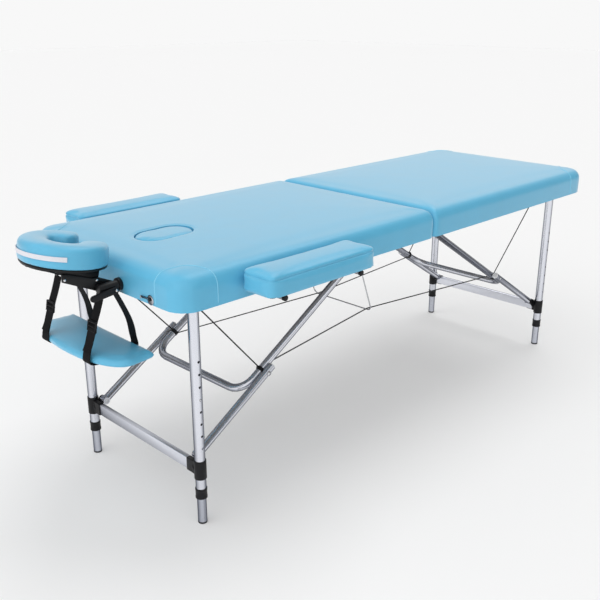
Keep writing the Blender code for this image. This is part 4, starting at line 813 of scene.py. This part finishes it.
class TABLE_OT_face_plug(bpy.types.Operator):
    """Stuff the plug that fills the face hole"""
    bl_idname = "massage_table.face_plug"
    bl_label = "Face plug"

    def execute(self, context):
        reach, radius = (PLUG_HIGH.x - PLUG_LOW.x) / 2, (PLUG_HIGH.y - PLUG_LOW.y) / 2
        half = reach - radius
        x = HOLE_MIDDLE.x
        top = PLUG_HIGH.z + 1.2 * MM
        turns = [radians(180 * i / 20 - 90) for i in range(21)]
        rings = []
        # Each ring is millimetres in from the plug's side, at a height.
        for inset, z in ((0, PLUG_LOW.z), (0, top - 9 * MM), (0.6, top - 5 * MM), (2.5, top - 2.2 * MM),
                         (6, top - 1 * MM), (16, top - 0.4 * MM), (36, top)):
            r = radius - inset * MM
            rings.append([(x + half + r * cos(a), r * sin(a), z) for a in turns]
                         + [(x - half - r * cos(a), -r * sin(a), z) for a in turns])
        plug = stuffed(loft(rings), PAD_VOXEL, 1.5 * MM, PLUG_LOW.z)
        settle(plug, "face_plug_vinyl", "vinyl", "face_plug", "face_plug")
        return {"FINISHED"}


class TABLE_OT_armrests(bpy.types.Operator):
    """Stuff the armrest pads and fit their boards, rods and caps"""
    bl_idname = "massage_table.armrests"
    bl_label = "Armrests"

    def execute(self, context):
        sizes = context.scene.table_sizes
        inset = Vector((1, 1, 0)) * MM
        for side, out in SIDES:
            node, base, body = side + "_armrest_pad", side + "_armrest_frame", side + "_armrest"
            low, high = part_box(node)
            form = pad_form(low + inset, high - inset, ARM_CORNERS, ARM_ROUNDS, ARM_DROP, ARM_CROWN,
                            ARM_DRAW)
            pad = stuffed(form, PAD_VOXEL, 2.5 * MM, low.z)
            seam = high.z - ARM_SEAM
            press(pad, lambda p: p[:, 2] - seam, 2.4 * sizes.seam_depth, sizes.seam_width * 0.7)
            press(pad, lambda p: p[:, 2] - seam - ARM_BEAD, -0.8 * MM, 4 * MM)
            settle(pad, side + "_armrest_vinyl", "vinyl", body, node)
            base_low, base_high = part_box(base)
            inner, rod_z = outermost(base_low.y, base_high.y, -out), base_low.z + 8.5 * MM
            span = (base_high.y - base_low.y) / MM
            rod = turned(0, (4.2, 0), (6, 1.5), (6, span - 5))
            cap = turned(0, (6, span - 9), (6.2, span - 9), (7.2, span - 8), (7.2, span - 2),
                         (6.6, span - 0.6), (5.2, span))
            ends = (low.x + ARM_ROD, high.x - ARM_ROD)
            for profile, name, finish, nodes in ((rod, "rods", "steel", [base]), (cap, "caps", "nylon", [])):
                pair = [lathe(profile, (x, inner, rod_z), (0, out, 0)) for x in ends]
                settle(together(*pair), f"{side}_armrest_{name}", finish, body, *nodes)
            edge = ARM_BOARD
            plan = rounded_plan(low.x + edge, high.x - edge, low.y + edge, high.y - edge, (7 * MM, 7 * MM))
            board = loft([[(x, y, low.z + rise * MM) for x, y in plan] for rise in (-3.8, -3, 2)])
            settle(board, side + "_armrest_board", "nylon", body)
        return {"FINISHED"}


class TABLE_OT_face_cradle(bpy.types.Operator):
    """Stuff the crescent face cushion and finish its plate, carrier, lever and bolts"""
    bl_idname = "massage_table.face_cradle"
    bl_label = "Face cradle"

    def execute(self, context):
        pivot = Vector(JOINTS["head_rest_tilt"]["pos_m"])
        lean = Matrix.Translation(pivot) @ Matrix.Rotation(CUSHION_LEAN, 4, "Y") @ Matrix.Translation(-pivot)
        base = Vector((pivot.x - 38.3 * MM, 0, pivot.z + 32.6 * MM))
        reach, half, tall, mouth = CUSHION_REACH, CUSHION_HALF, CUSHION_TALL, CUSHION_MOUTH

        def station(turn):
            a = radians(turn)
            normal = Vector((cos(a) / reach.x, sin(a) / reach.y, 0)).normalized()
            return base + Vector((reach.x * cos(a), reach.y * sin(a), 0)), normal

        # Half of the cushion's section: shares of its half width, and of its height.
        wall = [(0.95, 0.0), (1.0, 0.06), (1.0, 0.3), (1.0, 0.55), (0.97, 0.76), (0.86, 0.91), (0.64, 0.98),
                (0.3, 1.0)]
        section = [(-u, v) for u, v in wall] + [(0.0, 1.0)] + wall[::-1]
        stations = [(*station(mouth + (360 - 2 * mouth) * i / 60), 1.0) for i in range(61)]
        for index, turn in ((0, 1), (-1, -1)):
            spot, normal, _ = stations[index]
            along = Vector((normal.y, -normal.x, 0)) * turn
            caps = [(spot + along * half * 0.55 * sin(a), normal, cos(a))
                    for a in (radians(15 * i) for i in range(1, 6))]
            stations = list(reversed(caps)) + stations if turn > 0 else stations + caps
        form = loft([[spot + normal * u * half * share + Vector((0, 0, v * tall * (0.8 + 0.2 * share)))
                      for u, v in section] for spot, normal, share in stations])
        cushion = stuffed(form, PAD_VOXEL, 3 * MM, base.z)
        cushion.data.transform(lean)
        settle(cushion, "face_cushion_vinyl", "vinyl", "head_rest", "face_cushion")
        path = []
        for i in range(61):
            spot, normal = station(95 + 148 * i / 60)
            path.append(spot + normal * (half + 1.9 * MM) + Vector((0, 0, tall * (0.37 + 0.105 * i / 60))))
        tape = sweep(path, band_section(context.scene.table_sizes.tape_height, 0.8 * MM), (0, 0, 1))
        tape.data.transform(lean)
        settle(tape, "face_cushion_tape", "tape", "head_rest")
        bolt = turned(0, (2.2, -1), (3.6, -0.5), (3.6, 1.0), (2.9, 2.0), (1.2, 2.5))
        for side, out in SIDES:
            fixed = [lathe(bolt, (x, out * BOLT_Y, z), (0, out, 0), 20)
                     for x, z in ((HINGE_X + BOLT_X, BOLT_Z), (pivot.x, pivot.z))]
            settle(together(*fixed), side + "_arm_bolts", "steel", "cradle")
        refined("head_rest_plate", "powder_coat", 0.6 * MM)
        refined("cradle_frame", "powder_coat", 0.8 * MM)
        refined("cam_lever", "nylon", 1.2 * MM)
        root, lever = Vector(JOINTS["cam_lever_swing"]["pos_m"]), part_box("cam_lever")[0]
        stud = lathe(bolt, (root.x, lever.y - 0.6 * MM, root.z), (0, -1, 0), 20)
        settle(stud, "lever_bolt", "steel", "cradle")
        return {"FINISHED"}


class TABLE_OT_arm_sling(bpy.types.Operator):
    """Stuff the forearm board and hang it on its straps and buckles"""
    bl_idname = "massage_table.arm_sling"
    bl_label = "Arm sling"

    def execute(self, context):
        sizes = context.scene.table_sizes
        board = stuffed(from_bmesh(solid_of("sling_board")), PAD_VOXEL, 1.5 * MM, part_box("sling_board")[0].z)
        settle(board, "sling_board_vinyl", "vinyl", "cradle", "sling_board")
        width = Vector((0, 1, 0))
        strap = band_section(sizes.strap_width, sizes.strap_thickness)
        for side, _ in SIDES:
            node = side + "_sling_strap"
            low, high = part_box(node)
            y = (low.y + high.y) / 2
            top, bottom = high.z - 0.8 * MM, low.z + 0.8 * MM
            front, rear = low.x + 0.8 * MM, high.x - 0.8 * MM
            # The strap hangs from the carrier, runs under the board and comes up again behind it.
            knots = ((HINGE_X - 0.984, top), (HINGE_X - 0.9945, top - 0.030),
                     (HINGE_X - 1.0090, top - 0.066), (front + 11 * MM, bottom + 0.050),
                     (front + 1 * MM, bottom + 16 * MM),
                     (front + 0.5 * MM, bottom + 6 * MM), (front + 8 * MM, bottom), (rear - 8 * MM, bottom),
                     (rear - 0.5 * MM, bottom + 7 * MM), (rear - 2.5 * MM, bottom + 0.040),
                     (HINGE_X - 0.9120, bottom + 0.078), (HINGE_X - 0.9290, top - 0.042),
                     (HINGE_X - 0.9440, top - 0.010), (HINGE_X - 0.949, top))
            route = smooth_path([(x, y, z) for x, z in knots], 150)
            rise, buckle = route[:60], bottom + 0.54 * (top - bottom)
            run = [p for p in rise if buckle > p.z > bottom + 0.030]
            tail = [p + Vector((-2 * MM - 5 * MM * (i / len(run)) ** 3, -5 * MM, 0))
                    for i, p in enumerate(run)]
            layers = together(sweep(route, strap, width), sweep(tail, strap, width))
            settle(layers, side + "_sling_webbing", "webbing", "cradle", node)
            ahead = (route[60] - route[0]).normalized()
            heart = min(rise, key=lambda p: abs(p.z - buckle)) + width.cross(ahead) * 1.5 * MM
            bars = []
            for shift in (-11, 0, 11):
                spots = [heart + ahead * shift * MM + width * share * 17 * MM
                         for share in (-1, -0.5, 0, 0.5, 1)]
                bars.append(sweep(spots, band_section(5 * MM, 6.5 * MM), ahead))
            for share in (-1, 1):
                spots = [heart + width * share * 16 * MM + ahead * shift * MM
                         for shift in (-13, -7, 0, 7, 13)]
                bars.append(sweep(spots, band_section(4 * MM, 6.5 * MM), width))
            settle(together(*bars), side + "_slider", "nylon", "cradle")
        return {"FINISHED"}


class TABLE_OT_legs(bpy.types.Operator):
    """Finish the telescopic legs with their collars, clamps, buttons and tips"""
    bl_idname = "massage_table.legs"
    bl_label = "Legs"

    def execute(self, context):
        tall = context.scene.table_sizes.foot_tip / MM
        dome = turned(0, (3.2, 0), (3.2, 5.0), (2.88, 6.4), (1.92, 7.3), (0.64, 7.7))
        # A thin dark disc, seated in a hole, that paints the shade inside it.
        shade_disc = turned(0, (3.0, 0), (3.0, 0.3), (2.0, 0.35))
        # The socket grips the bar's end: millimetres along the bar, and the share of its section.
        grip = ((8, 1.0), (-22, 1.0), (-23, 0.97), (-23.5, 0.9))
        for end, turn in ENDS:
            refined(end + "_crossbar", "brushed", 0.8 * MM)
            bar_low, bar_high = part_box(end + "_crossbar")
            face, back = outermost(bar_low.x, bar_high.x, turn), outermost(bar_low.x, bar_high.x, -turn)
            middle_x, middle_z = (face + back) / 2, (bar_low.z + bar_high.z) / 2
            plan = rounded_plan(*sorted((face + turn * 2.2 * MM, back + turn * 1.5 * MM)),
                                bar_low.z - 2.5 * MM, bar_high.z + 2.5 * MM, (2 * MM, 2 * MM))
            for side, out in SIDES:
                corner = f"{end}_{side}_"
                for part, finish, ease in (("leg_tube", "aluminium", 0), ("leg_extension", "inner_leg", 0),
                                           ("collar", "nylon", 0.5 * MM), ("clamp", "nylon", 0.9 * MM)):
                    refined(corner + part, finish, ease)
                low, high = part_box(corner + "leg_extension")
                foot = Vector(((low.x + high.x) / 2, (low.y + high.y) / 2, 0))
                # The tip is no wider than the inner leg's sliding fit, so that it can draw up into the tube.
                skin = (high.x - low.x) / 2 + 0.06 * MM
                tip = turned(skin, (-2, 0), (-0.6, 0.2), (0, 1.2), (0, tall - 0.2), (-0.4, tall))
                settle(lathe(tip, foot, (0, 0, 1)), corner + "foot_tip", "rubber", corner + "extension")
                low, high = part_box(corner + "snap_button")
                spot = Vector((foot.x, outermost(low.y, high.y, out) - out * 4 * MM, (low.z + high.z) / 2))
                settle(lathe(dome, spot, (0, out, 0), 20), corner + "snap_button_dome", "steel",
                       corner + "button", corner + "snap_button")
                low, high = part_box(corner + "leg_tube")
                wall = outermost(low.y, high.y, out) - out * 1.0 * MM
                # The leg's travel down from here is four holes.
                pitch = JOINTS[corner + "leg_height"]["range_m"][1] / 4
                # Dark discs in the three lower holes are painted shade: they stand for the shadow inside those
                # holes.
                holes = [lathe(shade_disc, (foot.x, wall, spot.z - pitch * i), (0, out, 0), 16)
                         for i in (1, 2, 3)]
                settle(together(*holes), corner + "hole_liners", "nylon", end + "_leg_frame")
                tip_y = outermost(bar_low.y, bar_high.y, out)
                socket = loft([[(middle_x + (x - middle_x) * share, tip_y + out * reach * MM,
                                 middle_z + (z - middle_z) * share) for x, z in plan]
                               for reach, share in grip])
                settle(socket, corner + "crossbar_socket", "nylon", end + "_leg_frame")
        return {"FINISHED"}


class TABLE_OT_struts(bpy.types.Operator):
    """Finish the folding struts with their ferrules, bolts and end plugs"""
    bl_idname = "massage_table.struts"
    bl_label = "Struts"

    def execute(self, context):
        sizes = context.scene.table_sizes
        head, wide = sizes.bolt_head / 2, sizes.ferrule / MM
        domed = [(head * share, along * MM) for share, along in DOMED_HEAD]
        thin = [(head * share, along * MM) for share, along in THIN_HEAD]
        for end, _ in ENDS:
            refined(end + "_upper_strut", "aluminium")
            pivot, joint, leg = (Vector(JOINTS[end + name]["pos_m"])
                                 for name in ("_upper_strut_fold", "_lower_strut_fold", "_leg_fold"))
            span = joint - pivot
            line = span.normalized()
            knuckle = pivot + line * ((span.length + abs(leg.x - pivot.x) - (leg.z - joint.z)) / 2)
            strut_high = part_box(end + "_upper_strut")[1].y
            lower = end + "_lower_struts"
            for side, out in SIDES:
                name = f"{end}_{side}_"
                refined(name + "lower_strut", "aluminium")
                low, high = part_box(name + "lower_strut")
                radius, lower_y = (high.y - low.y) / 2, (low.y + high.y) / 2
                seat = knuckle + Vector((0, out * (strut_high - radius), 0))
                sleeve = turned(radius, (0.2, 0), (1.2, 0.5), (1.2, wide - 0.5), (0.2, wide))
                settle(lathe(sleeve, seat - line * sizes.ferrule / 2, line), name + "ferrule", "nylon",
                       end + "_upper_strut")
                plug = turned(radius, (-0.3, -1), (-0.3, 1), (-1.5, 2.5), (-5, 3))
                settle(lathe(plug, knuckle - line * 24 * MM + Vector((0, lower_y, 0)), -line),
                       name + "strut_plug", "plug", lower)
                bolt = lathe(domed, knuckle + Vector((0, lower_y + out * radius, 0)), (0, out, 0), 24)
                settle(bolt, name + "knuckle_bolt", "steel", lower)
                # The folded upper strut passes 0.8 mm from here, so this head is thin.
                nut = lathe(thin, joint + Vector((0, lower_y - out * radius, 0)), (0, -out, 0), 24)
                settle(nut, name + "ear_bolt", "steel", lower)
        return {"FINISHED"}


class TABLE_OT_cables(bpy.types.Operator):
    """String the wire ropes over the struts and the bail"""
    bl_idname = "massage_table.cables"
    bl_label = "Cables and bail"

    def execute(self, context):
        refined("take_up_bail", "steel")
        split = (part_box("take_up_bail")[1].x - 2 * MM, 0, 0)
        for side, _ in SIDES:
            node = side + "_brace_cable"
            for end, turn in ENDS:
                bm = solid_of(node)
                cut = bmesh.ops.bisect_plane(bm, geom=[*bm.verts, *bm.edges, *bm.faces], plane_co=split,
                                             plane_no=(-turn, 0, 0), clear_outer=True)["geom_cut"]
                bmesh.ops.edgeloop_fill(bm, edges=of_kind(cut, bmesh.types.BMEdge))
                rope = from_bmesh(bm)
                set_points(rope.data, points_of(rope.data) + normals_of(rope.data) * 0.5 * MM)
                nodes = [node] if turn < 0 else []
                cable = settle(rope, f"{side}_{end}_cable", "cable", end + "_deck", *nodes)
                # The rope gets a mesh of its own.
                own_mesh(cable)
        return {"FINISHED"}


class TABLE_OT_underframe(bpy.types.Operator):
    """Finish the rails, boards, hinge, axles and latches under the deck"""
    bl_idname = "massage_table.underframe"
    bl_label = "Underframe"

    def execute(self, context):
        for end, _ in ENDS:
            refined(end + "_rails", "aluminium", 0.5 * MM)
            board = refined(end + "_panel", "plywood").data
            points = points_of(board)
            middle = (points.min(axis=0) + points.max(axis=0)) / 2
            # The vinyl is drawn close round the board's corners, so the board is shown 2 mm smaller.
            set_points(board, middle + (points - middle) * (0.995, 0.994, 1.0))
            for part in ("hinge_leaf", "leg_axle", "strut_axle"):
                refined(f"{end}_{part}", "steel")
        refined("hinge_pin", "steel")
        for side, out in SIDES:
            low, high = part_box(side + "_latch_plate")
            spot = Vector((high.x, (low.y + high.y) / 2, (low.z + high.z) / 2 + 1 * MM))
            disc = lathe(turned(0, (12, 0), (12, 0.6), (11, 1.2), (7, 1.4)), spot, (-1, 0, 0))
            settle(disc, side + "_latch_disc", "steel", "head_deck", side + "_latch_plate")
            low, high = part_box(side + "_latch_hook")
            pin, x = Vector(JOINTS[side + "_latch_turn"]["pos_m"]), (low.x + high.x) / 2
            tip = outermost(low.y, high.y, -out) + out * 2.4 * MM
            arm = [(x, pin.y + (tip - pin.y) * i / 8, pin.z) for i in range(9)] + [
                (x, tip, pin.z - 2 * MM), (x, tip, pin.z - 6 * MM)]
            shoulder = turned(0, (5, 0), (5, 0.7), (4.4, 1.2))
            boss = lathe(shoulder, (high.x - 0.8 * MM, pin.y, pin.z), (-1, 0, 0), 24)
            settle(boss, side + "_latch_boss", "nylon", side + "_latch")
            hook = sweep(arm, band_section(1.5 * MM, 4.4 * MM), (1, 0, 0))
            settle(hook, side + "_latch_arm", "steel", side + "_latch", side + "_latch_hook")
        return {"FINISHED"}


OPERATORS = (TABLE_OT_stage, TABLE_OT_deck, TABLE_OT_face_plug, TABLE_OT_armrests, TABLE_OT_face_cradle,
             TABLE_OT_arm_sling, TABLE_OT_legs, TABLE_OT_struts, TABLE_OT_cables, TABLE_OT_underframe)


class TABLE_PT_panel(bpy.types.Panel):
    """Lists the table's pieces, finishes and sizes"""
    bl_label = "Massage Table"
    bl_space_type = "VIEW_3D"
    bl_region_type = "UI"
    bl_category = "Massage Table"

    def draw(self, context):
        for operator in OPERATORS:
            self.layout.operator(operator.bl_idname)
        for group in (context.scene.table_finishes, context.scene.table_sizes):
            box = self.layout.box()
            for name in group.__annotations__:
                box.prop(group, name)


CLASSES = (TableFinishes, TableSizes, *OPERATORS, TABLE_PT_panel)


def register():
    for item in CLASSES:
        bpy.utils.register_class(item)
    bpy.types.Scene.table_finishes = bpy.props.PointerProperty(type=TableFinishes)
    bpy.types.Scene.table_sizes = bpy.props.PointerProperty(type=TableSizes)


def unregister():
    del bpy.types.Scene.table_finishes
    del bpy.types.Scene.table_sizes
    for item in reversed(CLASSES):
        bpy.utils.unregister_class(item)


def main():
    register()
    for operator in OPERATORS:
        group, name = operator.bl_idname.split(".")
        getattr(getattr(bpy.ops, group), name)()


if __name__ == "__main__":
    main()
